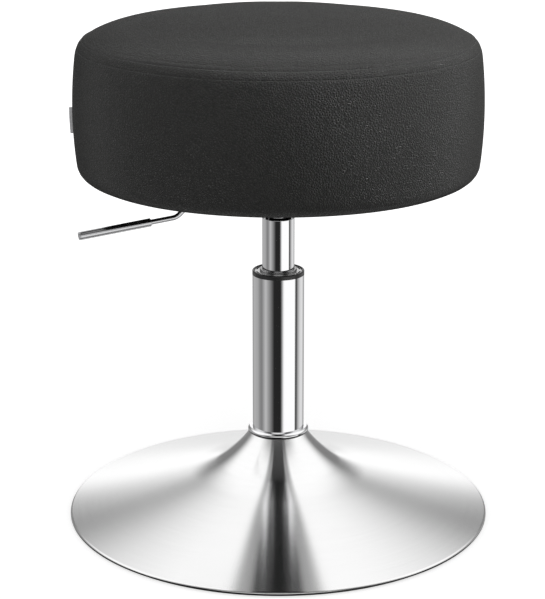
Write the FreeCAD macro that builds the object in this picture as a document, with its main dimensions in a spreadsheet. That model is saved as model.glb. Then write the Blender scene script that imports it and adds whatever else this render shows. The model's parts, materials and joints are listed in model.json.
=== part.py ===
import FreeCAD, Part
import math
import os

import Sketcher
from FreeCAD import Placement, Rotation, Vector

# Adjustable swivel stool: a round padded seat on a gas lift column with a spun trumpet base.
# Millimetres, +Z up, origin on the floor at the centre of the base.
# The lever points to -X and is turned a little towards -Y.

# Driving sizes. Each one is a cell of the sheet, and every other size is worked out from them.

SIZES = {
    # spun base dish
    "rim_radius": 205.5,
    "rim_height": 4.6,
    "rim_roll": 2.5,
    "rim_lip_bottom": 2.2,
    "dish_wall": 1.5,
    "kink_radius": 72.0,
    "kink_height": 45.5,
    "neck_gap": 3.3,
    "neck_height": 81.8,
    "throat_radius": 100.0,
    # rubber ring in the rim
    "ring_inset": 3.5,
    "ring_width": 6.0,
    # stamped plate under the dish
    "plate_height": 14.0,
    "plate_wall": 2.5,
    "plate_flat_radius": 64.0,
    "plate_rim_radius": 118.0,
    "plate_flange": 14.0,
    "plate_bore": 12.0,
    "plate_bend": 5.0,
    "relief_hole_radius": 10.0,
    "relief_circle": 46.0,
    "relief_count": 6,
    # stand tube and its foot
    "tube_radius": 25.0,
    "tube_wall": 1.5,
    "collar_bottom": 241.4,
    "foot_thickness": 6.0,
    "screw_radius": 3.0,
    "screw_circle": 16.5,
    "screw_count": 3,
    "screw_head_radius": 5.0,
    "screw_head_height": 3.3,
    "washer_radius": 6.0,
    "washer_thickness": 1.6,
    # chrome ring over the neck
    "trim_overhang": 1.3,
    "trim_height": 5.2,
    "trim_skirt": 6.0,
    "trim_top_share": 0.55,
    "trim_foot_share": 0.3,
    # collar, guide and wiper at the top of the tube
    "collar_height": 4.2,
    "collar_width": 2.1,
    "collar_face_drop": 0.9,
    "guide_length": 76.0,
    "guide_wall": 2.0,
    "guide_skin_wall": 1.6,
    "guide_web": 3.0,
    "guide_rib_count": 8,
    "guide_rib_width": 1.8,
    "slot_width": 1.5,
    "slot_angle": 26.0,
    "wiper_width": 2.25,
    "wiper_height": 2.2,
    # thrust bearing
    "race_thickness": 2.0,
    "race_radius": 12.0,
    "ball_radius": 2.5,
    "ball_count": 8,
    "race_gap": 4.2,
    "cage_thickness": 1.0,
    "cage_bore_gap": 1.2,
    # piston rod
    "rod_radius": 5.0,
    "journal_radius": 4.0,
    "rod_overhang": 5.5,
    "clip_thickness": 1.2,
    "clip_groove_depth": 0.9,
    "clip_radius": 7.6,
    "clip_mouth_width": 5.0,
    "clip_washer_radius": 10.2,
    "bump_height": 13.0,
    "bump_radius": 11.5,
    "piston_height": 12.0,
    "piston_lift": 93.0,
    "piston_stub": 3.5,
    "rod_head": 1.8,
    "piston_groove_depth": 1.7,
    "piston_ring_height": 3.0,
    # gas spring cylinder
    "cylinder_radius": 15.5,
    "cylinder_wall": 1.8,
    "cylinder_length": 202.0,
    "shoulder_drop": 5.0,
    "taper_stand_out": 2.0,
    "cylinder_mouth_radius": 7.8,
    "swage_slope": 2.0,
    "swage_height": 2.7,
    "swage_step": 1.3,
    "taper_drop": 0.8,
    "taper_wall": 2.2,
    "rod_guide_height": 10.0,
    "rod_seal_height": 4.0,
    "valve_height": 24.0,
    "pin_radius": 4.0,
    "pin_length": 26.0,
    "pin_stand_out": 3.5,
    "pin_dome": 8.0,
    # lever plate under the seat
    "seat_plate_side": 160.0,
    "seat_plate_corner": 14.0,
    "seat_plate_wall": 2.5,
    "pan_depth": 23.7,
    "pan_floor_radius": 50.0,
    "pan_flare": 11.0,
    "flange_lap": 10.0,
    "edge_lip": 5.0,
    "bush_radius": 19.0,
    "bush_drop": 14.0,
    "bush_rise": 8.0,
    "bolt_inset": 18.0,
    "bolt_radius": 3.0,
    "bolt_head_height": 4.0,
    "bolt_head_across": 10.0,
    "plate_washer_radius": 7.0,
    "tee_flange": 1.2,
    "tee_flange_radius": 9.0,
    "tee_barrel_radius": 3.9,
    "window_width": 10.0,
    "window_drop": 2.1,
    "window_height": 11.0,
    # lever
    "lever_angle": 18.2,
    "lever_radius": 2.5,
    "lever_gap": 0.2,
    "lever_inner_end": 5.5,
    "lever_clear": 9.7,
    "lever_bend_run": 29.4,
    "lever_bend_drop": 27.2,
    "handle_run_out": 92.5,
    "handle_drop": 10.5,
    "lever_bend_radius": 12.0,
    "finger_width": 8.0,
    "finger_length": 20.0,
    "pivot_inset": 10.0,
    "pivot_pin_radius": 2.0,
    "pin_head": 1.2,
    "pin_head_radius": 3.2,
    "pin_tail": 2.0,
    "pin_clip_radius": 4.0,
    "barrel_radius": 4.0,
    "barrel_length": 11.0,
    "ear_thickness": 2.0,
    "ear_width": 14.0,
    "ear_rise": 5.6,
    "sleeve_radius": 4.0,
    "sleeve_length": 68.0,
    "cap_length": 5.0,
    "cap_stand_out": 1.0,
    # seat
    "seat_bottom": 341.6,
    "seat_thickness": 150.1,
    "crown_radius": 1124.0,
    "crown_reach": 145.0,
    "shoulder_radius": 95.5,
    "shoulder_width": 29.4,
    "turn_radius": 24.7,
    "turn_end_angle": 7.5,
    "band_arc": 424.0,
    "band_lean": 0.9,
    "hem_height": 11.5,
    "hem_radius": 12.9,
    "hem_inset": 12.8,
    "leather": 1.2,
    "seam_angle": 22.14,
    "seam_depth": 0.9,
    "topstitch_angle": 43.26,
    "topstitch_groove": 0.6,
    "board_inset": 3.2,
    "board_thickness": 12.0,
    "wrap_width": 23.0,
    "cloth_thickness": 0.5,
    "tag_angle": 175.0,
    "tag_lift": 33.1,
    "tag_height": 25.0,
    "tag_stand_out": 7.0,
    "tag_thickness": 1.0,
    # rounded edges
    "fine_roll": 0.5,
    "edge_roll": 1.0,
    "broad_roll": 1.5,
    # clearances
    "piston_gap": 0.2,
    "run_gap": 0.05,
    "fit_gap": 0.1,
    "loose_gap": 0.3,
}

PARTS_FOLDER = "parts"
FULL_TURN = 360.0
HALF_TURN = 180.0
FLAT = 1e-6
HEX_SIDES = 6
PLATE_CORNERS = 4
# share of a thin fold that its rounded edge takes up
FOLD_SHARE = 0.9

doc = FreeCAD.newDocument("stool")
sheet = doc.addObject("Spreadsheet::Sheet", "Sizes")


class Length:
    """A number together with the sheet formula that gives it."""

    def __init__(self, value, formula):
        self.value = float(value)
        self.formula = formula

    def __add__(self, other):
        return joined(self, "+", other, self.value + number(other))

    def __radd__(self, other):
        return joined(other, "+", self, number(other) + self.value)

    def __sub__(self, other):
        return joined(self, "-", other, self.value - number(other))

    def __rsub__(self, other):
        return joined(other, "-", self, number(other) - self.value)

    def __mul__(self, other):
        return joined(self, "*", other, self.value * number(other))

    def __truediv__(self, other):
        return joined(self, "/", other, self.value / number(other))

    def __neg__(self):
        return Length(-self.value, "-(%s)" % self.formula)


def number(item):
    return item.value if isinstance(item, Length) else float(item)


def words(item):
    return item.formula if isinstance(item, Length) else repr(float(item))


def joined(left, sign, right, value):
    return Length(value, "(%s %s %s)" % (words(left), sign, words(right)))


def root(item):
    return Length(math.sqrt(number(item)), "sqrt(%s)" % words(item))


def cosine(degrees):
    return Length(math.cos(math.radians(number(degrees))), "cos(%s)" % words(degrees))


def sine(degrees):
    return Length(math.sin(math.radians(number(degrees))), "sin(%s)" % words(degrees))


def fill_sheet():
    for row, (name, value) in enumerate(SIZES.items(), start=1):
        sheet.set("A%d" % row, name)
        sheet.set("B%d" % row, str(value))
        sheet.setAlias("B%d" % row, name)
    doc.recompute()


def size(name):
    return Length(SIZES[name], "Sizes." + name)


kept_rows = []


def kept(name, item):
    """Stores a worked-out size in a cell of its own, so that the formulas stay short."""
    kept_rows.append(name)
    row = len(SIZES) + 1 + len(kept_rows)
    sheet.set("A%d" % row, name)
    sheet.set("B%d" % row, "=" + item.formula.replace("Sizes.", ""))
    sheet.setAlias("B%d" % row, name)
    return Length(item.value, "Sizes." + name)


# Sketching: an outline is a list of corners in drawing order.


class Corner:
    """A corner of an outline, rounded by roll, whose next side bends with radius arc.

    The arc's centre lies to the right of the way the outline runs where turn is -1, else left.
    """

    def __init__(self, across, up, roll=None, arc=None, turn=1):
        self.across = across
        self.up = up
        self.roll = roll
        self.arc = arc
        self.turn = turn

    def point(self):
        return Vector(number(self.across), number(self.up), 0)


def origin_feature(body, role):
    return next(item for item in body.Origin.OriginFeatures if item.Role == role)


def new_body(name):
    body = doc.addObject("PartDesign::Body", name)
    body.Label = name
    return body


def new_sketch(body, name, plane="XZ_Plane", offset=None):
    sketch = body.newObject("Sketcher::SketchObject", name)
    sketch.AttachmentSupport = [(origin_feature(body, plane), "")]
    sketch.MapMode = "FlatFace"
    if offset is not None:
        sketch.AttachmentOffset = Placement(Vector(0, 0, number(offset)), Rotation())
        if isinstance(offset, Length):
            sketch.setExpression("AttachmentOffset.Base.z", offset.formula)
    return sketch


def dimension(sketch, kind, places, item):
    index = sketch.addConstraint(Sketcher.Constraint(kind, *places, number(item)))
    if isinstance(item, Length):
        sketch.setExpression("Constraints[%d]" % index, item.formula)


def locate(sketch, geometry, end, corner):
    if abs(number(corner.across)) < FLAT:
        sketch.addConstraint(Sketcher.Constraint("PointOnObject", geometry, end, -2))
    else:
        dimension(sketch, "DistanceX", (-1, 1, geometry, end), corner.across)
    if abs(number(corner.up)) < FLAT:
        sketch.addConstraint(Sketcher.Constraint("PointOnObject", geometry, end, -1))
    else:
        dimension(sketch, "DistanceY", (-1, 1, geometry, end), corner.up)


def arc_through(start, end, radius, turn):
    chord = end - start
    left = Vector(-chord.y, chord.x, 0).normalize()
    rise = math.sqrt(radius ** 2 - (chord.Length / 2) ** 2)
    centre = (start + end) * 0.5 + left * (rise * turn)
    first, last = (start, end) if turn > 0 else (end, start)
    begin = math.atan2(first.y - centre.y, first.x - centre.x)
    finish = math.atan2(last.y - centre.y, last.x - centre.x)
    circle = Part.Circle(centre, Vector(0, 0, 1), radius)
    return Part.ArcOfCircle(circle, begin, finish)


def rolled(before, corner, after):
    """The two tangent points of a rounded corner, and which way it turns."""
    inward = (corner.point() - before).normalize()
    outward = (after - corner.point()).normalize()
    angle = inward.getAngle(outward)
    reach = number(corner.roll) * math.tan(angle / 2)
    side = 1 if inward.cross(outward).z > 0 else -1
    return corner.point() - inward * reach, corner.point() + outward * reach, side


def outline(sketch, corners, closed=True):
    """Draws the outline and ties every corner and radius to its formula."""
    count = len(corners)
    starts = [corner.point() for corner in corners]
    ends = [corner.point() for corner in corners]
    sides = [0] * count
    for index, corner in enumerate(corners):
        if corner.roll is not None:
            before = corners[index - 1].point()
            after = corners[(index + 1) % count].point()
            ends[index], starts[index], sides[index] = rolled(before, corner, after)
    last = count if closed else count - 1
    runs = []
    for index in range(last):
        corner = corners[index]
        following = (index + 1) % count
        if corner.arc is None:
            geometry = Part.LineSegment(starts[index], ends[following])
            runs.append((sketch.addGeometry(geometry, False), 1, 2))
        else:
            geometry = arc_through(starts[index], ends[following], number(corner.arc), corner.turn)
            first, second = (1, 2) if corner.turn > 0 else (2, 1)
            runs.append((sketch.addGeometry(geometry, False), first, second))
            dimension(sketch, "Radius", (runs[-1][0],), corner.arc)
    for index, corner in enumerate(corners):
        if not closed and index == 0:
            locate(sketch, runs[0][0], runs[0][1], corner)
            continue
        if not closed and index == count - 1:
            locate(sketch, runs[-1][0], runs[-1][2], corner)
            continue
        arriving = runs[index - 1]
        leaving = runs[index]
        if corner.roll is None:
            pair = (arriving[0], arriving[2], leaving[0], leaving[1])
            sketch.addConstraint(Sketcher.Constraint("Coincident", *pair))
            locate(sketch, leaving[0], leaving[1], corner)
            continue
        bend = arc_through(ends[index], starts[index], number(corner.roll), sides[index])
        curve = sketch.addGeometry(bend, False)
        first, second = (1, 2) if sides[index] > 0 else (2, 1)
        pair = (arriving[0], arriving[2], curve, first)
        sketch.addConstraint(Sketcher.Constraint("Tangent", *pair))
        pair = (curve, second, leaving[0], leaving[1])
        sketch.addConstraint(Sketcher.Constraint("Tangent", *pair))
        dimension(sketch, "Radius", (curve,), corner.roll)
        mark = sketch.addGeometry(Part.Point(corner.point()), True)
        sketch.addConstraint(Sketcher.Constraint("PointOnObject", mark, 1, arriving[0]))
        sketch.addConstraint(Sketcher.Constraint("PointOnObject", mark, 1, leaving[0]))
        locate(sketch, mark, 1, corner)


def circle(sketch, across, up, radius):
    centre = Corner(across, up)
    geometry = sketch.addGeometry(Part.Circle(centre.point(), Vector(0, 0, 1), number(radius)), False)
    locate(sketch, geometry, 3, centre)
    dimension(sketch, "Radius", (geometry,), radius)


def rectangle(sketch, left, low, right, high, roll=None):
    corners = [
        Corner(left, low, roll),
        Corner(right, low, roll),
        Corner(right, high, roll),
        Corner(left, high, roll),
    ]
    outline(sketch, corners)


# Features: each one joins its body and is worked out at once.


def tie(feature, field, item):
    setattr(feature, field, number(item))
    if isinstance(item, Length):
        feature.setExpression(field, item.formula)


def feature(body, kind, name, sketch=None):
    item = body.newObject("PartDesign::" + kind, name)
    if sketch is not None:
        item.Profile = sketch
        sketch.Visibility = False
    return item


def revolve(body, corners, kind="Revolution", name=None):
    name = name or body.Name + "_turned"
    sketch = new_sketch(body, name + "_outline")
    outline(sketch, corners)
    item = feature(body, kind, name, sketch)
    item.ReferenceAxis = (sketch, ["V_Axis"])
    item.Angle = FULL_TURN
    doc.recompute()
    return item


def turned(name, corners):
    body = new_body(name)
    revolve(body, corners)
    return body


def pad(body, sketch, length, name, midplane=False):
    item = feature(body, "Pad", name, sketch)
    tie(item, "Length", length)
    item.Midplane = midplane
    doc.recompute()
    return item


def pocket(body, sketch, name, through=True, length=None, midplane=False, reverse=False):
    before = body.Shape.Volume
    item = feature(body, "Pocket", name, sketch)
    item.Midplane = midplane
    item.Reversed = reverse
    if through:
        item.Type = "ThroughAll"
    else:
        tie(item, "Length", length)
    doc.recompute()
    if body.Shape.Volume > before - FLAT:
        raise RuntimeError("the pocket %s cut nothing" % name)
    return item


def around(body, originals, count, name):
    """Repeats features evenly round the column's axis."""
    item = feature(body, "PolarPattern", name)
    item.Originals = originals
    item.Axis = (origin_feature(body, "Z_Axis"), [""])
    item.Angle = FULL_TURN
    item.Occurrences = int(number(count))
    item.setExpression("Occurrences", count.formula)
    body.Tip = item
    doc.recompute()
    return item


def ring_section(inner, outer, low, high, roll=None, inner_roll=None):
    return [
        Corner(inner, low, inner_roll),
        Corner(outer, low, roll),
        Corner(outer, high, roll),
        Corner(inner, high, inner_roll),
    ]


fill_sheet()

# Clearances
run_gap = size("run_gap")
fit_gap = size("fit_gap")
loose_gap = size("loose_gap")

# Rounded edges
fine_roll = size("fine_roll")
edge_roll = size("edge_roll")
broad_roll = size("broad_roll")

# Base dish: heights on its inner side follow from the sheet's slope and wall.
rim_radius = size("rim_radius")
dish_wall = size("dish_wall")
kink_radius = size("kink_radius")
kink_height = size("kink_height")
tube_radius = size("tube_radius")
neck_radius = tube_radius + size("neck_gap")
neck_height = size("neck_height")
throat = size("throat_radius")
dish_slope = kept("dish_slope", (kink_height - size("rim_height")) / (rim_radius - kink_radius))
slant = kept("dish_slant", root(1.0 + dish_slope * dish_slope))


def under_dish(radius):
    """Height of the dish's inner side at a radius on its shallow cone."""
    return kink_height - dish_slope * (radius - kink_radius) - dish_wall * slant


throat_run = kink_radius - neck_radius
throat_drop = neck_height - kink_height
chord = kept("throat_chord", root(throat_run * throat_run + throat_drop * throat_drop))
throat_rise = kept("throat_rise", root(throat * throat - chord * chord / 4.0))
centre_across = (neck_radius + kink_radius) / 2.0 + throat_rise * throat_drop / chord
centre_up = (neck_height + kink_height) / 2.0 + throat_rise * throat_run / chord
throat_across = kept("throat_centre_across", centre_across)
throat_up = kept("throat_centre_up", centre_up)
wall_share = kept("throat_wall_share", dish_wall / throat)
neck_inner = kept("neck_inner_radius", neck_radius - (throat_across - neck_radius) * wall_share)
neck_inner_up = kept("neck_inner_height", neck_height - (throat_up - neck_height) * wall_share)
kink_inner = kept("kink_inner_radius", kink_radius - (throat_across - kink_radius) * wall_share)
kink_inner_up = kept("kink_inner_height", kink_height - (throat_up - kink_height) * wall_share)
lip_inner = rim_radius - dish_wall

turned("base_shell", [
    Corner(neck_radius, neck_height, arc=throat),
    Corner(kink_radius, kink_height),
    Corner(rim_radius, size("rim_height"), roll=size("rim_roll")),
    Corner(rim_radius, size("rim_lip_bottom")),
    Corner(lip_inner, size("rim_lip_bottom")),
    Corner(lip_inner, under_dish(lip_inner), roll=size("rim_roll") - dish_wall),
    Corner(kink_inner, kink_inner_up, arc=throat + dish_wall, turn=-1),
    Corner(neck_inner, neck_inner_up),
])

ring_outer = rim_radius - size("ring_inset")
ring_inner = ring_outer - size("ring_width")
turned("floor_ring", [
    Corner(ring_inner, 0),
    Corner(ring_outer, 0),
    Corner(ring_outer, under_dish(ring_outer) - fit_gap),
    Corner(ring_inner, under_dish(ring_inner) - fit_gap),
])

# Stamped plate welded under the dish: it carries the column.
plate_bottom = size("plate_height")
plate_wall = size("plate_wall")
plate_top = plate_bottom + plate_wall
plate_rim = size("plate_rim_radius")
plate_end = plate_rim + size("plate_flange")
plate_crest = under_dish(plate_rim) - fit_gap
plate_tail = under_dish(plate_end) - fit_gap
plate_knee = size("plate_flat_radius")
plate_bend = size("plate_bend")
plate_outer_bend = plate_bend + plate_wall
screw_circle = size("screw_circle")
screw_count = size("screw_count")
screw_radius = size("screw_radius")

stiffener = turned("stiffener_plate", [
    Corner(size("plate_bore"), plate_bottom),
    Corner(plate_knee, plate_bottom, roll=plate_outer_bend),
    Corner(plate_rim, plate_crest - plate_wall, roll=plate_bend),
    Corner(plate_end, plate_tail - plate_wall),
    Corner(plate_end, plate_tail),
    Corner(plate_rim, plate_crest, roll=plate_outer_bend),
    Corner(plate_knee, plate_top, roll=plate_bend),
    Corner(size("plate_bore"), plate_top),
])
relief_sketch = new_sketch(stiffener, "relief_outline", "XY_Plane")
circle(relief_sketch, size("relief_circle"), 0, size("relief_hole_radius"))
relief = pocket(stiffener, relief_sketch, "relief", midplane=True)
around(stiffener, [relief], size("relief_count"), "reliefs")
seat_hole_sketch = new_sketch(stiffener, "screw_hole_outline", "XY_Plane")
circle(seat_hole_sketch, screw_circle, 0, screw_radius + loose_gap)
seat_hole = pocket(stiffener, seat_hole_sketch, "screw_hole", midplane=True)
around(stiffener, [seat_hole], screw_count, "screw_holes")

# Stand tube, its foot plate and the screws from below.
tube_bore = tube_radius - size("tube_wall")
tube_top = size("collar_bottom")
foot_top = plate_top + size("foot_thickness")
journal = size("journal_radius")

stand_tube = new_body("stand_tube")
tube_sketch = new_sketch(stand_tube, "tube_outline", "XY_Plane", plate_top)
circle(tube_sketch, 0, 0, tube_radius)
circle(tube_sketch, 0, 0, tube_bore)
pad(stand_tube, tube_sketch, tube_top - plate_top, "tube_wall_pad")

foot_plate = new_body("foot_plate")
foot_sketch = new_sketch(foot_plate, "foot_outline", "XY_Plane", plate_top)
circle(foot_sketch, 0, 0, tube_bore - run_gap)
circle(foot_sketch, 0, 0, journal + run_gap)
pad(foot_plate, foot_sketch, size("foot_thickness"), "foot_disc")
tapped_sketch = new_sketch(foot_plate, "tapped_outline", "XY_Plane")
circle(tapped_sketch, screw_circle, 0, screw_radius)
tapped = pocket(foot_plate, tapped_sketch, "tapped_hole", midplane=True)
around(foot_plate, [tapped], screw_count, "tapped_holes")

washer_thickness = size("washer_thickness")
head_top = plate_bottom - washer_thickness
washers = new_body("column_washers")
washer_sketch = new_sketch(washers, "washer_outline", "XY_Plane", head_top)
circle(washer_sketch, screw_circle, 0, size("washer_radius"))
circle(washer_sketch, screw_circle, 0, screw_radius + fit_gap)
washer = pad(washers, washer_sketch, washer_thickness, "column_washer")
around(washers, [washer], screw_count, "column_washer_ring")

screws = new_body("column_screws")
head_sketch = new_sketch(screws, "head_outline", "XY_Plane", head_top - size("screw_head_height"))
circle(head_sketch, screw_circle, 0, size("screw_head_radius"))
head = pad(screws, head_sketch, size("screw_head_height"), "screw_head")
shank_sketch = new_sketch(screws, "shank_outline", "XY_Plane", head_top)
circle(shank_sketch, screw_circle, 0, screw_radius - run_gap)
shank_length = foot_top - head_top - fit_gap
shank = pad(screws, shank_sketch, shank_length, "screw_shank")
around(screws, [head, shank], screw_count, "column_screw_ring")

# Chrome ring over the neck, with a skirt that centres the tube in it.
trim_inner = tube_radius + fit_gap
trim_radius = neck_radius + size("trim_overhang")
trim_bottom = neck_height
trim_top = trim_bottom + size("trim_height")
skirt_outer = neck_inner - loose_gap
turned("trim_ring", [
    Corner(trim_inner, trim_bottom - size("trim_skirt")),
    Corner(skirt_outer, trim_bottom - size("trim_skirt")),
    Corner(skirt_outer, trim_bottom + run_gap),
    Corner(trim_radius, trim_bottom + run_gap, roll=size("trim_height") * size("trim_foot_share")),
    Corner(trim_radius, trim_top, roll=(trim_radius - trim_inner) * size("trim_top_share")),
    Corner(trim_inner, trim_top),
])

# Guide sleeve pressed into the tube, with the slotted face that shows in the collar.
cylinder_radius = size("cylinder_radius")
guide_bore = cylinder_radius + run_gap
guide_hub = guide_bore + size("guide_wall")
guide_outer = tube_bore - run_gap
guide_skin = guide_outer - size("guide_skin_wall")
guide_bottom = tube_top - size("guide_length")
collar_top = tube_top + size("collar_height")
face_top = collar_top - size("collar_face_drop")
face_bottom = face_top - size("guide_web")
collar_inner = tube_radius - size("collar_width")
face_radius = collar_inner - fit_gap

guide = turned("guide_sleeve", [
    Corner(guide_bore, guide_bottom),
    Corner(guide_hub, guide_bottom),
    Corner(guide_hub, face_bottom),
    Corner(guide_skin, face_bottom),
    Corner(guide_skin, guide_bottom),
    Corner(guide_outer, guide_bottom),
    Corner(guide_outer, tube_top - fit_gap),
    Corner(face_radius, tube_top - fit_gap),
    Corner(face_radius, face_top, roll=fine_roll),
    Corner(guide_bore, face_top),
])
rib_half = size("guide_rib_width") / 2.0
rib_sketch = new_sketch(guide, "rib_outline", "XY_Plane", guide_bottom)
rectangle(rib_sketch, guide_hub - rib_half, -rib_half, guide_skin + rib_half / 2.0, rib_half)
rib = pad(guide, rib_sketch, face_bottom - guide_bottom + run_gap, "guide_rib")
around(guide, [rib], size("guide_rib_count"), "guide_ribs")
slot_half = size("slot_angle") / 2.0
slot_outer = guide_skin - fit_gap
slot_inner = slot_outer - size("slot_width")
slot_turn = Length(HALF_TURN, repr(HALF_TURN)) / size("guide_rib_count")
slot_from = slot_turn - slot_half
slot_to = slot_turn + slot_half
slot_sketch = new_sketch(guide, "slot_outline", "XY_Plane", face_bottom - fit_gap)
outline(slot_sketch, [
    Corner(slot_inner * cosine(slot_from), slot_inner * sine(slot_from)),
    Corner(slot_outer * cosine(slot_from), slot_outer * sine(slot_from), arc=slot_outer),
    Corner(slot_outer * cosine(slot_to), slot_outer * sine(slot_to)),
    Corner(slot_inner * cosine(slot_to), slot_inner * sine(slot_to), arc=slot_inner, turn=-1),
])
slot = pocket(guide, slot_sketch, "guide_slot", reverse=True)
around(guide, [slot], size("guide_rib_count"), "guide_slots")

turned("collar", [
    Corner(collar_inner, tube_top),
    Corner(tube_radius, tube_top),
    Corner(tube_radius, collar_top, roll=edge_roll),
    Corner(collar_inner, collar_top, roll=fine_roll),
])

wiper_radius = guide_bore + size("wiper_width")
turned("wiper_ring", [
    Corner(guide_bore, face_top),
    Corner(wiper_radius, face_top),
    Corner(wiper_radius, face_top + size("wiper_height"), roll=edge_roll),
    Corner(guide_bore, face_top + size("wiper_height"), roll=fine_roll),
])

# Thrust bearing at the foot: two grooved races, and a ball cage between them.
race_thickness = size("race_thickness")
race_radius = size("race_radius")
ball_radius = size("ball_radius")
cage_bore = journal + size("cage_bore_gap")
ball_circle = (cage_bore + race_radius) / 2.0
race_top = foot_top + race_thickness
ball_height = race_top + size("race_gap") / 2.0
upper_race_bottom = race_top + size("race_gap")
rod_shoulder = upper_race_bottom + race_thickness


def race(name, bore, low):
    body = turned(name, ring_section(bore, race_radius, low, low + race_thickness))
    groove = feature(body, "SubtractiveTorus", name + "_groove")
    tie(groove, "Radius1", ball_circle)
    tie(groove, "Radius2", ball_radius + run_gap)
    groove.AttachmentSupport = [(origin_feature(body, "XY_Plane"), "")]
    groove.MapMode = "FlatFace"
    groove.setExpression("AttachmentOffset.Base.z", ball_height.formula)
    doc.recompute()
    return body


race("lower_race", journal + loose_gap, foot_top)
race("upper_race", journal + run_gap, upper_race_bottom)

cage_thickness = size("cage_thickness")
cage = turned("ball_cage", ring_section(
    cage_bore,
    race_radius,
    ball_height - cage_thickness / 2.0,
    ball_height + cage_thickness / 2.0,
))
pocket_sketch = new_sketch(cage, "ball_pocket_outline", "XY_Plane")
circle(pocket_sketch, ball_circle, 0, ball_radius + run_gap)
ball_pocket = pocket(cage, pocket_sketch, "ball_pocket", midplane=True)
around(cage, [ball_pocket], size("ball_count"), "ball_pockets")

balls = new_body("bearing_balls")
ball = feature(balls, "AdditiveSphere", "bearing_ball")
tie(ball, "Radius", ball_radius)
ball.AttachmentSupport = [(origin_feature(balls, "XY_Plane"), "")]
ball.MapMode = "FlatFace"
ball.setExpression("AttachmentOffset.Base.x", ball_circle.formula)
ball.setExpression("AttachmentOffset.Base.z", ball_height.formula)
doc.recompute()
around(balls, [ball], size("ball_count"), "bearing_ball_ring")

# Levels under the seat, counted down from its bottom.
leather = size("leather")
seat_bottom = size("seat_bottom")
board_bottom = seat_bottom + leather + fit_gap
cloth_top = board_bottom - fit_gap
cloth_bottom = cloth_top - size("cloth_thickness")
flange_top = cloth_bottom - fit_gap
seat_plate_wall = size("seat_plate_wall")
flange_bottom = flange_top - seat_plate_wall
pan_bottom = flange_bottom - size("pan_depth")
bush_bottom = pan_bottom - size("bush_drop")
bush_top = pan_bottom + size("bush_rise")
shoulder = bush_bottom - size("shoulder_drop")
cylinder_top = bush_top + size("taper_stand_out")
cylinder_bottom = shoulder - size("cylinder_length")

# Piston rod: journal through the foot plate, held by a clip and washer underneath.
rod_radius = size("rod_radius")
clip_thickness = size("clip_thickness")
rod_bottom = plate_top - size("rod_overhang")
washer_top = plate_top - run_gap
clip_top = washer_top - clip_thickness - run_gap
clip_bottom = clip_top - clip_thickness
groove_radius = journal - size("clip_groove_depth")
piston_bottom = cylinder_bottom + size("piston_lift")
piston_top = piston_bottom + size("piston_height")
stub = size("piston_stub")

turned("piston_rod", [
    Corner(0, rod_bottom),
    Corner(journal, rod_bottom, roll=edge_roll),
    Corner(journal, clip_bottom - run_gap),
    Corner(groove_radius, clip_bottom - run_gap),
    Corner(groove_radius, clip_top + run_gap),
    Corner(journal, clip_top + run_gap),
    Corner(journal, rod_shoulder),
    Corner(rod_radius, rod_shoulder),
    Corner(rod_radius, piston_bottom),
    Corner(stub, piston_bottom),
    Corner(stub, piston_top),
    Corner(rod_radius, piston_top),
    Corner(rod_radius, piston_top + size("rod_head"), roll=edge_roll),
    Corner(0, piston_top + size("rod_head")),
])

turned("clip_washer", ring_section(
    journal + fit_gap,
    size("clip_washer_radius"),
    washer_top - clip_thickness,
    washer_top,
))

clip_radius = size("clip_radius")
clip = turned("retaining_clip", ring_section(
    groove_radius + run_gap,
    clip_radius,
    clip_bottom,
    clip_top,
))
mouth_sketch = new_sketch(clip, "clip_mouth_outline", "XY_Plane")
mouth_half = size("clip_mouth_width") / 2.0
rectangle(mouth_sketch, 0, -mouth_half, clip_radius + fit_gap, mouth_half)
pocket(clip, mouth_sketch, "clip_mouth", midplane=True)

turned("bump_stop", ring_section(
    rod_radius + fit_gap,
    size("bump_radius"),
    rod_shoulder,
    rod_shoulder + size("bump_height"),
    roll=broad_roll,
))

# Piston inside the gas spring cylinder.
cylinder_bore = cylinder_radius - size("cylinder_wall")
piston_radius = cylinder_bore - size("piston_gap")
ring_height = size("piston_ring_height")
ring_bottom = piston_bottom + (size("piston_height") - ring_height) / 2.0
ring_groove = piston_radius - size("piston_groove_depth")
turned("piston", [
    Corner(stub + run_gap, piston_bottom),
    Corner(piston_radius, piston_bottom, roll=edge_roll),
    Corner(piston_radius, ring_bottom),
    Corner(ring_groove, ring_bottom),
    Corner(ring_groove, ring_bottom + ring_height),
    Corner(piston_radius, ring_bottom + ring_height),
    Corner(piston_radius, piston_top, roll=edge_roll),
    Corner(stub + run_gap, piston_top),
])
turned("piston_ring", ring_section(
    ring_groove + run_gap,
    cylinder_bore - run_gap,
    ring_bottom + run_gap,
    ring_bottom + ring_height - run_gap,
))

# Gas spring cylinder: a tube rolled in at its foot, and swaged to a taper at its top.
cylinder_wall = size("cylinder_wall")
taper_foot = cylinder_radius - size("swage_step")
taper_top = taper_foot - size("taper_drop")
taper_bore = taper_top - size("taper_wall")
taper_foot_up = kept("taper_foot_height", shoulder + (cylinder_radius - taper_foot) * size("swage_slope"))
taper_slope = kept("taper_slope", (taper_foot - taper_top) / (cylinder_top - taper_foot_up))
mouth = size("cylinder_mouth_radius")
guide_top = cylinder_bottom + cylinder_wall + size("rod_guide_height")

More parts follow.
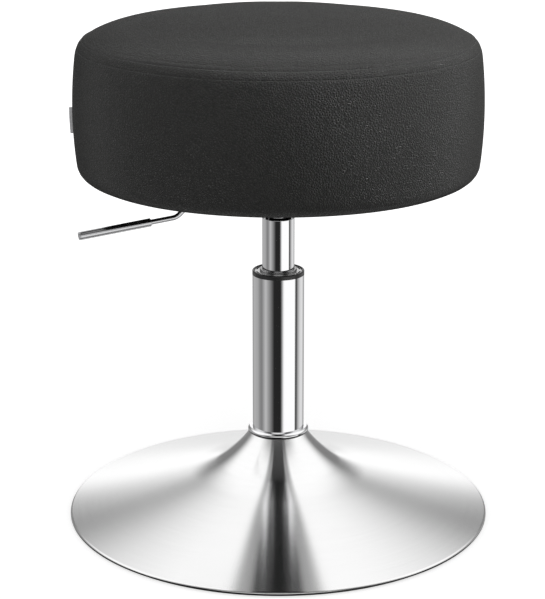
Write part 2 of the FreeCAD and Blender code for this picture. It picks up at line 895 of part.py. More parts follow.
turned("pressure_tube", [
    Corner(mouth, cylinder_bottom),
    Corner(cylinder_radius, cylinder_bottom, roll=broad_roll),
    Corner(cylinder_radius, shoulder),
    Corner(taper_foot, taper_foot_up),
    Corner(taper_top, cylinder_top, roll=edge_roll),
    Corner(mouth, cylinder_top),
    Corner(mouth, cylinder_top - cylinder_wall),
    Corner(taper_bore, cylinder_top - cylinder_wall),
    Corner(taper_bore, shoulder - cylinder_wall),
    Corner(cylinder_bore, shoulder - cylinder_wall - size("swage_height")),
    Corner(cylinder_bore, cylinder_bottom + cylinder_wall),
    Corner(mouth, cylinder_bottom + cylinder_wall),
])
turned("rod_guide", ring_section(
    rod_radius + run_gap,
    cylinder_bore - run_gap,
    cylinder_bottom + cylinder_wall,
    guide_top,
))
turned("rod_seal", ring_section(
    rod_radius + run_gap,
    cylinder_bore - run_gap,
    guide_top,
    guide_top + size("rod_seal_height"),
    inner_roll=fine_roll,
))
valve_top = cylinder_top - cylinder_wall
pin_radius = size("pin_radius")
turned("valve_block", ring_section(
    pin_radius + run_gap,
    taper_bore - run_gap,
    valve_top - size("valve_height"),
    valve_top,
))

# Release pin: its domed head stands out of the cylinder's top.
pin_top = cylinder_top + size("pin_stand_out")
pin_dome = size("pin_dome")
dome_drop = pin_dome - root(pin_dome * pin_dome - pin_radius * pin_radius)
turned("release_pin", [
    Corner(0, pin_top - size("pin_length")),
    Corner(pin_radius, pin_top - size("pin_length"), roll=edge_roll),
    Corner(pin_radius, pin_top - dome_drop, arc=pin_dome),
    Corner(0, pin_top),
])

# Taper bush: the cylinder's taper seats in it.
bush_radius = size("bush_radius")


def taper_at(height):
    return taper_foot - taper_slope * (height - taper_foot_up) + run_gap


turned("taper_bush", [
    Corner(taper_at(bush_bottom), bush_bottom),
    Corner(bush_radius, bush_bottom, roll=broad_roll),
    Corner(bush_radius, bush_top, roll=edge_roll),
    Corner(taper_at(bush_top), bush_top),
])

# Seat plate: a square plate with a drawn pan, turned to face the lever.
half_side = size("seat_plate_side") / 2.0
pan_floor = size("pan_floor_radius")
pan_mouth = pan_floor + size("pan_flare")
pan_run = pan_mouth - pan_floor
pan_rise = flange_bottom - pan_bottom
pan_slant = kept("pan_slant", root(pan_run * pan_run + pan_rise * pan_rise))
pan_inset = kept("pan_inset", seat_plate_wall * (pan_slant - pan_run) / pan_rise)
flange_overlap = pan_mouth + size("flange_lap")
edge_lip = size("edge_lip")
bolt_offset = half_side - size("bolt_inset")
bolt_radius = size("bolt_radius")
lever_radius = size("lever_radius")
lever_height = pin_top + size("lever_gap") + lever_radius
lever_turn = Rotation(Vector(0, 0, 1), HALF_TURN + SIZES["lever_angle"])
lever_place = Placement(Vector(0, 0, 0), lever_turn)

seat_plate = new_body("seat_plate")
flange_sketch = new_sketch(seat_plate, "flange_outline", "XY_Plane", flange_bottom)
rectangle(flange_sketch, -half_side, -half_side, half_side, half_side, size("seat_plate_corner"))
circle(flange_sketch, 0, 0, flange_overlap - seat_plate_wall)
pad(seat_plate, flange_sketch, seat_plate_wall, "flange")
revolve(seat_plate, [
    Corner(bush_radius + run_gap, pan_bottom),
    Corner(pan_floor, pan_bottom, roll=seat_plate_wall * 2.0),
    Corner(pan_mouth, flange_bottom, roll=seat_plate_wall),
    Corner(flange_overlap, flange_bottom),
    Corner(flange_overlap, flange_top),
    Corner(pan_mouth - pan_inset, flange_top, roll=seat_plate_wall * 2.0),
    Corner(pan_floor - pan_inset, pan_bottom + seat_plate_wall, roll=seat_plate_wall),
    Corner(bush_radius + run_gap, pan_bottom + seat_plate_wall),
], name="pan")
lip_sketch = new_sketch(seat_plate, "edge_lip_outline", "XY_Plane", flange_bottom - edge_lip)
lip_half = half_side - seat_plate_wall
lip_corner = size("seat_plate_corner") - seat_plate_wall
rectangle(lip_sketch, -half_side, -half_side, half_side, half_side, size("seat_plate_corner"))
rectangle(lip_sketch, -lip_half, -lip_half, lip_half, lip_half, lip_corner)
pad(seat_plate, lip_sketch, edge_lip, "edge_lip")
bolt_hole_sketch = new_sketch(seat_plate, "bolt_hole_outline", "XY_Plane", flange_bottom)
circle(bolt_hole_sketch, bolt_offset, bolt_offset, bolt_radius + loose_gap)
bolt_hole = pocket(seat_plate, bolt_hole_sketch, "bolt_hole", midplane=True)
four = Length(PLATE_CORNERS, str(PLATE_CORNERS))
around(seat_plate, [bolt_hole], four, "bolt_holes")
window_half = size("window_width") / 2.0
window_sketch = new_sketch(seat_plate, "window_outline", "YZ_Plane", pan_mouth - seat_plate_wall)
window_bottom = lever_height - lever_radius - size("window_drop")
rectangle(
    window_sketch,
    -window_half,
    window_bottom,
    window_half,
    window_bottom + size("window_height"),
    broad_roll,
)
window_depth = pan_run * 2.0
pocket(seat_plate, window_sketch, "lever_window", through=False, length=window_depth, midplane=True)
seat_plate.Placement = lever_place

# Lever bracket: a channel welded in the pan, whose ears carry the pivot pin.
barrel_radius = size("barrel_radius")
barrel_half = size("barrel_length") / 2.0
pivot_out = pan_floor - size("pivot_inset")
pivot_up = lever_height - lever_radius - barrel_radius
pivot_pin_radius = size("pivot_pin_radius")
ear_thickness = size("ear_thickness")
ear_inner = barrel_half + loose_gap
ear_outer = ear_inner + ear_thickness
ear_half = size("ear_width") / 2.0
bracket_bottom = pan_bottom + seat_plate_wall + fit_gap
bracket_floor = bracket_bottom + ear_thickness
ear_top = pivot_up + size("ear_rise")
ear_bend = ear_thickness + fine_roll

bracket = new_body("lever_bracket")
channel_sketch = new_sketch(bracket, "channel_outline", "YZ_Plane", pivot_out)
outline(channel_sketch, [
    Corner(-ear_outer, bracket_bottom, roll=ear_bend),
    Corner(ear_outer, bracket_bottom, roll=ear_bend),
    Corner(ear_outer, ear_top),
    Corner(ear_inner, ear_top),
    Corner(ear_inner, bracket_floor, roll=fine_roll),
    Corner(-ear_inner, bracket_floor, roll=fine_roll),
    Corner(-ear_inner, ear_top),
    Corner(-ear_outer, ear_top),
])
pad(bracket, channel_sketch, size("ear_width"), "channel", midplane=True)
eye_sketch = new_sketch(bracket, "eye_outline", "XZ_Plane")
circle(eye_sketch, pivot_out, pivot_up, pivot_pin_radius + run_gap / 2.0)
pocket(bracket, eye_sketch, "pin_eyes", midplane=True)
bracket.Placement = lever_place

pin_head = size("pin_head")
pin_head_radius = size("pin_head_radius")
pin_end = ear_outer + size("pin_tail")
pin_drop = Rotation(Vector(1, 0, 0), -90)


def across_the_lever(body):
    """Lays a turned piece on the lever's pivot, along the pivot's own axis."""
    centre = Vector(number(pivot_out), 0, number(pivot_up))
    body.Placement = lever_place.multiply(Placement(centre, pin_drop))


pivot_pin = turned("pivot_pin", [
    Corner(0, -ear_outer - pin_head),
    Corner(pin_head_radius, -ear_outer - pin_head, roll=fine_roll),
    Corner(pin_head_radius, -ear_outer - run_gap),
    Corner(pivot_pin_radius, -ear_outer - run_gap),
    Corner(pivot_pin_radius, pin_end, roll=fine_roll),
    Corner(0, pin_end),
])
across_the_lever(pivot_pin)
pin_clip = turned("pin_clip", ring_section(
    pivot_pin_radius + run_gap,
    size("pin_clip_radius"),
    ear_outer + run_gap,
    ear_outer + run_gap + pin_head,
))
across_the_lever(pin_clip)
barrel = turned("lever_barrel", ring_section(
    pivot_pin_radius + run_gap,
    barrel_radius,
    -barrel_half,
    barrel_half,
))
across_the_lever(barrel)

# Lever rod: a bent rod with a flattened finger over the release pin.
bend_out = pan_mouth + size("lever_clear")
low_out = bend_out + size("lever_bend_run")
low_up = lever_height - size("lever_bend_drop")
end_out = low_out + size("handle_run_out")
end_up = low_up - size("handle_drop")
bend_radius = size("lever_bend_radius")
cap_length = size("cap_length")
handle_out = end_out - low_out
handle_up = end_up - low_up
handle_run = kept("handle_run", root(handle_out * handle_out + handle_up * handle_up))
rod_end_out = end_out - handle_out * cap_length / handle_run
rod_end_up = end_up - handle_up * cap_length / handle_run
inner_end = size("lever_inner_end")

lever_rod = new_body("lever_rod")
path_sketch = new_sketch(lever_rod, "rod_path")
outline(path_sketch, [
    Corner(-inner_end, lever_height),
    Corner(bend_out, lever_height, roll=bend_radius),
    Corner(low_out, low_up, roll=bend_radius),
    Corner(rod_end_out, rod_end_up),
], closed=False)
section_sketch = new_sketch(lever_rod, "rod_section", "YZ_Plane", -inner_end)
circle(section_sketch, 0, lever_height, lever_radius)
doc.recompute()
rod_sweep = feature(lever_rod, "AdditivePipe", "bent_rod", section_sketch)
rod_sweep.Spine = path_sketch
doc.recompute()
finger_half = size("finger_width") / 2.0
finger_end = size("finger_length") - inner_end
finger_sketch = new_sketch(lever_rod, "finger_outline", "XY_Plane", lever_height - lever_radius)
rectangle(finger_sketch, -inner_end, -finger_half, finger_end, finger_half, broad_roll)
pad(lever_rod, finger_sketch, lever_radius, "finger")
lever_rod.Placement = lever_place

# Handle sleeve and its end cap, slid on the outer run of the rod.
sleeve_radius = size("sleeve_radius")
sleeve_length = size("sleeve_length")
handle_way = Vector(number(handle_out), 0, number(handle_up)).normalize()
handle_end = Vector(number(end_out), 0, number(end_up))
handle_start = handle_end - handle_way * number(sleeve_length)
handle_tilt = Rotation(Vector(0, 0, 1), handle_way)
handle_place = lever_place.multiply(Placement(handle_start, handle_tilt))
sleeve = turned("handle_sleeve", [
    Corner(lever_radius + run_gap, 0),
    Corner(sleeve_radius, 0, roll=fine_roll),
    Corner(sleeve_radius, sleeve_length, roll=fine_roll),
    Corner(lever_radius + run_gap, sleeve_length),
])
sleeve.Placement = handle_place
cap_top = sleeve_length + size("cap_stand_out")
cap = turned("handle_cap", [
    Corner(0, sleeve_length - cap_length + loose_gap),
    Corner(lever_radius, sleeve_length - cap_length + loose_gap),
    Corner(lever_radius, sleeve_length + run_gap),
    Corner(sleeve_radius - loose_gap, sleeve_length + run_gap),
    Corner(sleeve_radius - loose_gap, cap_top, roll=fine_roll),
    Corner(0, cap_top),
])
cap.Placement = handle_place

# Cushion outline: a chain of arcs from the crown to the hem, each one tangent to the last.
seat_top = seat_bottom + size("seat_thickness")
crown = size("crown_radius")
shoulder_arc = size("shoulder_radius")
turn_arc = size("turn_radius")
band_arc = size("band_arc")
hem_arc = size("hem_radius")
crown_up = kept("crown_centre_height", seat_top - crown)
crown_reach = size("crown_reach")
crown_end = kept("crown_end_height", crown_up + root(crown * crown - crown_reach * crown_reach))
step_in = kept("shoulder_step", 1.0 - shoulder_arc / crown)
shoulder_across = kept("shoulder_centre_across", crown_reach * step_in)
shoulder_up = kept("shoulder_centre_height", crown_up + (crown_end - crown_up) * step_in)
shoulder_reach = crown_reach + size("shoulder_width")
away = shoulder_reach - shoulder_across
shoulder_end = kept("shoulder_end_height", shoulder_up + root(shoulder_arc * shoulder_arc - away * away))
turn_step = kept("turn_step", 1.0 - turn_arc / shoulder_arc)
turn_across = kept("turn_centre_across", shoulder_across + away * turn_step)
turn_up = kept("turn_centre_height", shoulder_up + (shoulder_end - shoulder_up) * turn_step)
band_away = kept("band_away", turn_arc * cosine(size("turn_end_angle")))
band_rise = kept("band_rise", turn_arc * sine(size("turn_end_angle")))
band_top = turn_across + band_away
band_top_up = turn_up + band_rise
band_foot = band_top + size("band_lean")
band_foot_up = seat_bottom + size("hem_height")
hem_reach = band_foot - size("hem_inset")
seam_away = kept("seam_away", turn_arc * cosine(size("seam_angle")))
seam_rise = kept("seam_rise", turn_arc * sine(size("seam_angle")))
seam_across = turn_across + seam_away
seam_up = turn_up + seam_rise
stitch_across = turn_across + turn_arc * cosine(size("topstitch_angle"))
stitch_up = turn_up + turn_arc * sine(size("topstitch_angle"))

# Bolts, washers and tee nuts that hold the plate to the seat board.
board_thickness = size("board_thickness")
board_top = board_bottom + board_thickness
tee_flange = size("tee_flange")
tee_barrel = size("tee_barrel_radius")
tee_radius = size("tee_flange_radius")
plate_washer_top = flange_bottom
plate_washer_bottom = flange_bottom - washer_thickness
bolt_head = size("bolt_head_height")
hex_across = size("bolt_head_across")

plate_washers = new_body("plate_washers")
sketch = new_sketch(plate_washers, "plate_washer_outline", "XY_Plane", plate_washer_bottom)
circle(sketch, bolt_offset, bolt_offset, size("plate_washer_radius"))
circle(sketch, bolt_offset, bolt_offset, bolt_radius + fit_gap)
plate_washer = pad(plate_washers, sketch, washer_thickness, "plate_washer")
around(plate_washers, [plate_washer], four, "plate_washer_square")
plate_washers.Placement = lever_place

plate_bolts = new_body("plate_bolts")
sketch = new_sketch(plate_bolts, "bolt_head_outline", "XY_Plane", plate_washer_bottom - bolt_head)
hex_reach = hex_across / 2.0 / cosine(FULL_TURN / HEX_SIDES / 2.0)
hex_corners = []
for step in range(HEX_SIDES):
    turn = FULL_TURN / HEX_SIDES * (step + 0.5)
    across = bolt_offset + hex_reach * math.cos(math.radians(turn))
    up = bolt_offset + hex_reach * math.sin(math.radians(turn))
    hex_corners.append(Corner(across, up))
outline(sketch, hex_corners)
bolt_head_pad = pad(plate_bolts, sketch, bolt_head, "bolt_head")
sketch = new_sketch(plate_bolts, "bolt_shank_outline", "XY_Plane", plate_washer_bottom)
circle(sketch, bolt_offset, bolt_offset, bolt_radius - run_gap)
bolt_length = board_top - plate_washer_bottom - tee_flange
bolt_shank = pad(plate_bolts, sketch, bolt_length, "bolt_shank")
around(plate_bolts, [bolt_head_pad, bolt_shank], four, "plate_bolt_square")
plate_bolts.Placement = lever_place

tee_nuts = new_body("tee_nuts")
sketch = new_sketch(tee_nuts, "tee_flange_outline", "XY_Plane", board_top - tee_flange)
circle(sketch, bolt_offset, bolt_offset, tee_radius)
circle(sketch, bolt_offset, bolt_offset, bolt_radius)
tee_plate = pad(tee_nuts, sketch, tee_flange, "tee_flange")
sketch = new_sketch(tee_nuts, "tee_barrel_outline", "XY_Plane", board_bottom + fit_gap)
circle(sketch, bolt_offset, bolt_offset, tee_barrel)
circle(sketch, bolt_offset, bolt_offset, bolt_radius)
tee_tube = pad(tee_nuts, sketch, board_thickness - tee_flange - fit_gap, "tee_barrel")
around(tee_nuts, [tee_plate, tee_tube], four, "tee_nut_square")
tee_nuts.Placement = lever_place

board = new_body("seat_board")
board_radius = hem_reach - size("board_inset")
sketch = new_sketch(board, "board_outline", "XY_Plane", board_bottom)
circle(sketch, 0, 0, board_radius)
pad(board, sketch, board_thickness, "board_disc")
sketch = new_sketch(board, "tee_hole_outline", "XY_Plane")
circle(sketch, bolt_offset, bolt_offset, tee_barrel + run_gap)
tee_hole = pocket(board, sketch, "tee_hole", midplane=True)
around(board, [tee_hole], four, "tee_holes")
sketch = new_sketch(board, "tee_recess_outline", "XY_Plane", board_top - tee_flange - run_gap)
circle(sketch, bolt_offset, bolt_offset, tee_radius + run_gap)
tee_recess = pocket(board, sketch, "tee_recess", reverse=True)
around(board, [tee_recess], four, "tee_recesses")
board.Placement = lever_place

cloth = new_body("dust_cloth")
wrap_inner = board_radius - size("wrap_width")
sketch = new_sketch(cloth, "cloth_outline", "XY_Plane", cloth_bottom)
circle(sketch, 0, 0, wrap_inner - loose_gap)
pad(cloth, sketch, size("cloth_thickness"), "cloth_disc")
sketch = new_sketch(cloth, "cloth_hole_outline", "XY_Plane", cloth_bottom)
circle(sketch, bolt_offset, bolt_offset, bolt_radius + loose_gap)
cloth_hole = pocket(cloth, sketch, "cloth_hole", midplane=True)
around(cloth, [cloth_hole], four, "cloth_holes")
cloth.Placement = lever_place

# Leather and foam: the same chain at different depths.


def crown_corners(inset):
    """Corners from the axis to the seam at a depth under the leather's outer side."""
    crown_share = 1.0 - inset / crown
    shoulder_share = 1.0 - inset / shoulder_arc
    turn_share = 1.0 - inset / turn_arc
    knee_across = shoulder_across + away * shoulder_share
    knee_up = shoulder_up + (shoulder_end - shoulder_up) * shoulder_share
    return [
        Corner(0, seat_top - inset, arc=crown - inset, turn=-1),
        Corner(
            crown_reach * crown_share,
            crown_up + (crown_end - crown_up) * crown_share,
            arc=shoulder_arc - inset,
            turn=-1,
        ),
        Corner(knee_across, knee_up, arc=turn_arc - inset, turn=-1),
        Corner(turn_across + seam_away * turn_share, turn_up + seam_rise * turn_share),
    ]


def band_corners(inset):
    """Corners from the seam down the band to the start of the hem's flat."""
    turn_share = 1.0 - inset / turn_arc
    return [
        Corner(
            turn_across + seam_away * turn_share,
            turn_up + seam_rise * turn_share,
            arc=turn_arc - inset,
            turn=-1,
        ),
        Corner(
            turn_across + band_away * turn_share,
            turn_up + band_rise * turn_share,
            arc=band_arc - inset,
            turn=-1,
        ),
        Corner(band_foot - inset, band_foot_up, arc=hem_arc - inset, turn=-1),
        Corner(hem_reach, seat_bottom + inset),
    ]


def backwards(corners):
    """The same corners run the other way, each side keeping its arc."""
    result = []
    for index in range(len(corners) - 1, -1, -1):
        side = corners[index - 1] if index > 0 else None
        arc = side.arc if side else None
        result.append(Corner(corners[index].across, corners[index].up, arc=arc, turn=1))
    return result


none = Length(0.0, "0.0")
top_panel = turned("top_panel", crown_corners(none) + backwards(crown_corners(leather)))
side_band = turned("side_band", band_corners(none) + [
    Corner(wrap_inner, seat_bottom),
    Corner(wrap_inner, seat_bottom + leather),
] + backwards(band_corners(leather)))
foam_inset = leather + fit_gap
foam_low = board_bottom + fit_gap
foam_corners = crown_corners(foam_inset)[:-1] + band_corners(foam_inset)
foam_corners[-1] = Corner(hem_reach, board_bottom)
turned("foam_block", foam_corners + [
    Corner(board_radius + fit_gap, board_bottom),
    Corner(board_radius + fit_gap, board_top + fit_gap),
    Corner(0, board_top + fit_gap),
])


def channel(body, name, radius, across, height):
    """Cuts a sewn channel of round section into the leather."""
    before = body.Shape.Volume
    item = feature(body, "SubtractiveTorus", name)
    tie(item, "Radius1", across)
    tie(item, "Radius2", radius)
    item.AttachmentSupport = [(origin_feature(body, "XY_Plane"), "")]
    item.MapMode = "FlatFace"
    item.setExpression("AttachmentOffset.Base.z", height.formula)
    doc.recompute()
    if body.Shape.Volume > before - FLAT:
        raise RuntimeError("the channel %s cut nothing" % name)


channel(top_panel, "topstitch_channel", size("topstitch_groove"), stitch_across, stitch_up)
channel(top_panel, "seam_channel_top", size("seam_depth"), seam_across, seam_up)
channel(side_band, "seam_channel_band", size("seam_depth"), seam_across, seam_up)

# Blank woven tag sewn into the band.
tag = new_body("side_tag")
tag_half = size("tag_thickness") / 2.0
half_band = (band_top_up - band_foot_up) / 2.0
band_swell = band_arc - root(band_arc * band_arc - half_band * half_band)
tag_inner = (band_top + band_foot) / 2.0 + band_swell + run_gap
tag_outer = tag_inner + size("tag_stand_out")
sketch = new_sketch(tag, "tag_outline", "XY_Plane", seat_bottom + size("tag_lift"))
outline(sketch, [
    Corner(tag_inner, -tag_half),
    Corner(tag_outer, -tag_half, roll=tag_half * FOLD_SHARE),
    Corner(tag_outer, tag_half, roll=tag_half * FOLD_SHARE),
    Corner(tag_inner, tag_half),
])
pad(tag, sketch, size("tag_height"), "tag_fold")
tag.Placement = Placement(Vector(0, 0, 0), Rotation(Vector(0, 0, 1), SIZES["tag_angle"]))

doc.recompute()


def sub_parts():
    return [item for item in doc.Objects if item.TypeId == "PartDesign::Body"]


def check(bodies):
    failed = []
    for item in doc.Objects:
        if "Invalid" in item.State or "Error" in item.State:
            failed.append("%s: %s" % (item.Label, item.State))
    for body in bodies:
        if body.Shape.isNull() or not body.Shape.isValid():
            failed.append("%s: no valid shape" % body.Label)
    if failed:
        raise RuntimeError("; ".join(failed))


def export(bodies):
    os.makedirs(PARTS_FOLDER, exist_ok=True)
    for body in bodies:
        body.Shape.exportStep(os.path.join(PARTS_FOLDER, body.Label + ".step"))


parts = sub_parts()
check(parts)
export(parts)
print("%d sub-parts" % len(parts))
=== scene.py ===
"""Adjustable swivel stool in a plain white studio.

Metres, +Z up, with the origin on the floor at the centre of the base. Sizes that describe
the stool's own pieces are written in millimetres, as on a drawing.
"""
import json
import logging
import math
import random
from dataclasses import dataclass
from enum import Enum
from typing import Callable, Sequence

import bmesh
import bpy
from mathutils import Matrix, Vector, noise
from mathutils.kdtree import KDTree


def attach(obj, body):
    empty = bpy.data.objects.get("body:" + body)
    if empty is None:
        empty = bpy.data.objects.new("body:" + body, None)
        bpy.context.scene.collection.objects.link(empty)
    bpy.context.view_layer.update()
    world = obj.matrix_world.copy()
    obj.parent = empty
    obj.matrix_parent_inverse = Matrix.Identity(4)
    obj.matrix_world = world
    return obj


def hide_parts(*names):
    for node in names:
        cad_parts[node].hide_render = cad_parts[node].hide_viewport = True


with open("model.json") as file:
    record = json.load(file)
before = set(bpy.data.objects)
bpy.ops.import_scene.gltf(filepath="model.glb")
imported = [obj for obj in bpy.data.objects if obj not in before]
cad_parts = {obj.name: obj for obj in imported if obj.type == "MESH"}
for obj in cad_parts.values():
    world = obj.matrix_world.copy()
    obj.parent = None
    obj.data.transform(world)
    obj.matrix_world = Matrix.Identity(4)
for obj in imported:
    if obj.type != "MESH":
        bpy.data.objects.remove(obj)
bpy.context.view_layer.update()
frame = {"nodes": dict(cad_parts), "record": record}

MM = 0.001
TURN = 2.0 * math.pi

# In millimetres: what counts as on the axis and as one point, and a bend's longest chord
ON_AXIS = 1e-3
SAME_POINT = 1e-4
LONGEST_CHORD = 6.0

Colour = tuple[float, float, float]
Lift = Callable[[int, float], Vector]

log = logging.getLogger("stool")


class Body(str, Enum):
    """The bodies that a piece can ride on."""

    BASE = "base"
    SEAT = "seat"
    LEVER = "lever"


class Slot(str, Enum):
    """The record's material slots."""

    DISH = "brushed_dish"
    COLUMN = "chrome_column"
    TRIM = "chrome_trim"
    HANDLE = "chrome_lever"
    RUBBER = "black_rubber"
    STEEL = "black_steel"
    ZINC = "zinc_steel"
    SCREW = "black_screw"
    BEARING = "bearing_steel"
    CAGE = "brass_cage"
    PLASTIC = "black_plastic"
    GUIDE = "grey_plastic"
    GLOSS = "black_gloss_plastic"
    PLYWOOD = "plywood"
    FOAM = "seat_foam"
    LEATHER = "black_leather"
    CLOTH = "black_cloth"
    TAG = "tag_weave"


# Shader maths


def maths(operation: str, swapped: bool = False) -> Callable[..., "Wire"]:
    """Makes a method that adds one Math node.

    Args:
        operation: The node's operation.
        swapped: Whether the method's own wire is the last term.

    Returns:
        The method.
    """
    def method(self: "Wire", *others: "Wire | float") -> "Wire":
        """Adds the node and gives its output."""
        terms = (*others, self) if swapped else (self, *others)
        return self.graph.add("ShaderNodeMath", {"operation": operation}, dict(enumerate(terms)))

    return method


class Wire:
    """An output socket that takes part in Python expressions."""

    __add__, __radd__ = maths("ADD"), maths("ADD", True)
    __sub__, __rsub__ = maths("SUBTRACT"), maths("SUBTRACT", True)
    __mul__, __rmul__ = maths("MULTIPLY"), maths("MULTIPLY", True)
    __truediv__ = maths("DIVIDE")
    sine, size, fraction, root = maths("SINE"), maths("ABSOLUTE"), maths("FRACT"), maths("SQRT")
    larger, smaller, angle_to = maths("MAXIMUM"), maths("MINIMUM"), maths("ARCTAN2")

    def __init__(self, graph: "Graph", socket: bpy.types.NodeSocket) -> None:
        """Wraps an output socket of a graph."""
        self.graph = graph
        self.socket = socket

    def __neg__(self) -> "Wire":
        """Gives the negative."""
        return self * -1.0

    def step(self, low: float, high: float) -> "Wire":
        """Gives a smooth step from 0 at low to 1 at high."""
        sockets = {"Value": self, "From Min": low, "From Max": high}
        return self.graph.add("ShaderNodeMapRange", {"interpolation_type": "SMOOTHSTEP"}, sockets)


class Graph:
    """The node tree of one material or world."""

    def __init__(self, tree: bpy.types.NodeTree) -> None:
        """Empties a node tree and keeps it."""
        self.tree = tree
        self.tree.nodes.clear()

    def add(self, kind: str, settings: dict | None = None, sockets: dict | None = None,
            out: str | int = 0) -> Wire:
        """Adds one node, with its settings made before its sockets are filled.

        Args:
            kind: The node's type.
            settings: The node's own settings.
            sockets: Values or wires for the input sockets, by name or number.
            out: The output that is wanted.

        Returns:
            The wire from that output.
        """
        node = self.tree.nodes.new(kind)
        for name, value in (settings or {}).items():
            setattr(node, name, value)
        for name, value in (sockets or {}).items():
            if isinstance(value, Wire):
                self.tree.links.new(value.socket, node.inputs[name])
            else:
                node.inputs[name].default_value = value
        return Wire(self, node.outputs[out]) if len(node.outputs) else None

    def place(self) -> Wire:
        """Gives the place on the object, in its own metres."""
        return self.add("ShaderNodeTexCoord", out="Object")

    def axes(self, where: Wire) -> tuple[Wire, Wire, Wire]:
        """Splits a place into its three coordinates."""
        split = self.add("ShaderNodeSeparateXYZ", sockets={"Vector": where})
        return tuple(Wire(self, output) for output in split.socket.node.outputs)

    def grains(self, where: Wire, scale: float, detail: float = 3.0, rough: float = 0.5) -> Wire:
        """Gives a cloudy noise from about 0 to 1.

        Args:
            where: The place that it is read at.
            scale: Grains in a metre.
            detail: Finer layers added to it.
            rough: How strong the finer layers are.

        Returns:
            The noise.
        """
        sockets = {"Vector": where, "Scale": scale, "Detail": detail, "Roughness": rough}
        return self.add("ShaderNodeTexNoise", sockets=sockets)

    def cells(self, where: Wire, scale: float) -> Wire:
        """Gives the distance to the nearest cell's edge, in cells."""
        sockets = {"Vector": where, "Scale": scale}
        return self.add("ShaderNodeTexVoronoi", {"feature": "DISTANCE_TO_EDGE"}, sockets, "Distance")

    def vector(self, operation: str, sockets: dict) -> Wire:
        """Adds one Vector Math node."""
        return self.add("ShaderNodeVectorMath", {"operation": operation}, sockets)

    def shifted(self, where: Wire, scale: float, reach: float) -> Wire:
        """Gives a place moved a little by a noise, so that a pattern isn't regular.

        Args:
            where: The place to move.
            scale: Grains of the noise in a metre.
            reach: How far it moves, in metres.

        Returns:
            The moved place.
        """
        cloud = self.add("ShaderNodeTexNoise", sockets={"Vector": where, "Scale": scale}, out="Color")
        centred = self.vector("SUBTRACT", {0: cloud, 1: (0.5, 0.5, 0.5)})
        return self.vector("ADD", {0: where, 1: self.vector("SCALE", {0: centred, "Scale": reach})})

    def stretched(self, where: Wire, x: float, y: float, z: float) -> Wire:
        """Gives a place whose axes are stretched for a long grain."""
        return self.vector("MULTIPLY", {0: where, 1: (x, y, z)})

    def mix(self, share: Wire, dark: Colour | Wire, light: Colour | Wire) -> Wire:
        """Mixes two colours by a share from 0 to 1."""
        ends = [end if isinstance(end, Wire) else (*end, 1.0) for end in (dark, light)]
        return self.add("ShaderNodeMix", {"data_type": "RGBA"}, {0: share, 6: ends[0], 7: ends[1]}, 2)

    def blend(self, share: Wire, first: Wire, second: Wire) -> Wire:
        """Mixes two shaders by a share from 0 to 1."""
        return self.add("ShaderNodeMixShader", sockets={0: share, 1: first, 2: second})

    def relief(self, height: Wire, depth: float) -> Wire:
        """Gives the normal of a surface whose relief of 0 to 1 is so many metres high."""
        return self.add("ShaderNodeBump", sockets={"Height": height, "Distance": depth, "Strength": 1.0})


def new_material(name: str) -> tuple[bpy.types.Material, Graph]:
    """Makes a material with an empty graph."""
    made = bpy.data.materials.new(name)
    made.use_nodes = True
    return made, Graph(made.node_tree)


def grey(level: float) -> Colour:
    """Gives a neutral colour."""
    return (level, level, level)


# Painted shade: the dark colour laid into metal where contact shade falls, at the ring's foot and under
# the dish's lip
PAINTED_SHADE = grey(0.03)


@dataclass(frozen=True)
class Finish:
    """What every finish has: a name and the values of the main shader."""

    name: str

    def surface(self, graph: Graph) -> dict:
        """Gives a value or wire for each socket of the main shader by name."""
        raise NotImplementedError

    def material(self) -> bpy.types.Material:
        """Makes the finish's material, or gives the one that is made."""
        made = bpy.data.materials.get(self.name)
        if made:
            return made
        made, graph = new_material(self.name)
        shader = graph.add("ShaderNodeBsdfPrincipled", sockets=self.surface(graph))
        graph.add("ShaderNodeOutputMaterial", sockets={"Surface": shader})
        return made


@dataclass(frozen=True)
class Leather(Finish):
    """Pebbled faux leather with creases between its grains."""

    top: Colour = (0.0245, 0.0245, 0.023)
    crease: Colour = (0.008, 0.008, 0.0075)
    grain: float = 2.2 * MM
    depth: float = 0.75 * MM
    roughness: float = 0.31
    sheen: float = 0.27
    small_grain: float = 2.3
    pore_scale: float = 6000.0
    tone_scale: float = 11.0

    def surface(self, graph: Graph) -> dict:
        """Gives the leather's sockets."""
        where, scale = graph.place(), 1.0 / self.grain
        pebble = graph.cells(graph.shifted(where, 0.5 * scale, self.grain * 0.6), scale).step(0.0, 0.34)
        small = graph.shifted(where, 1.2 * scale, self.grain * 0.3)
        fine = graph.cells(small, self.small_grain * scale).step(0.0, 0.3)
        pores = graph.grains(where, self.pore_scale, 2.0)
        tone = graph.grains(where, self.tone_scale, 2.0)
        height = pebble * 0.7 + fine * 0.25 + pores * 0.05
        shade = (pebble * 0.75 + fine * 0.25) * (0.75 + tone * 0.5)
        low = graph.add("ShaderNodeLayerWeight", sockets={"Blend": 0.5}, out="Facing").step(0.45, 0.85)
        return {
            "Base Color": graph.mix(shade, self.crease, self.top),
            "Roughness": self.roughness + 0.14 * (1.0 - pebble) + 0.10 * (tone - 0.5) + 0.42 * low,
            "IOR": 1.5,
            "Specular IOR Level": self.sheen,
            "Normal": graph.relief(height, self.depth),
        }


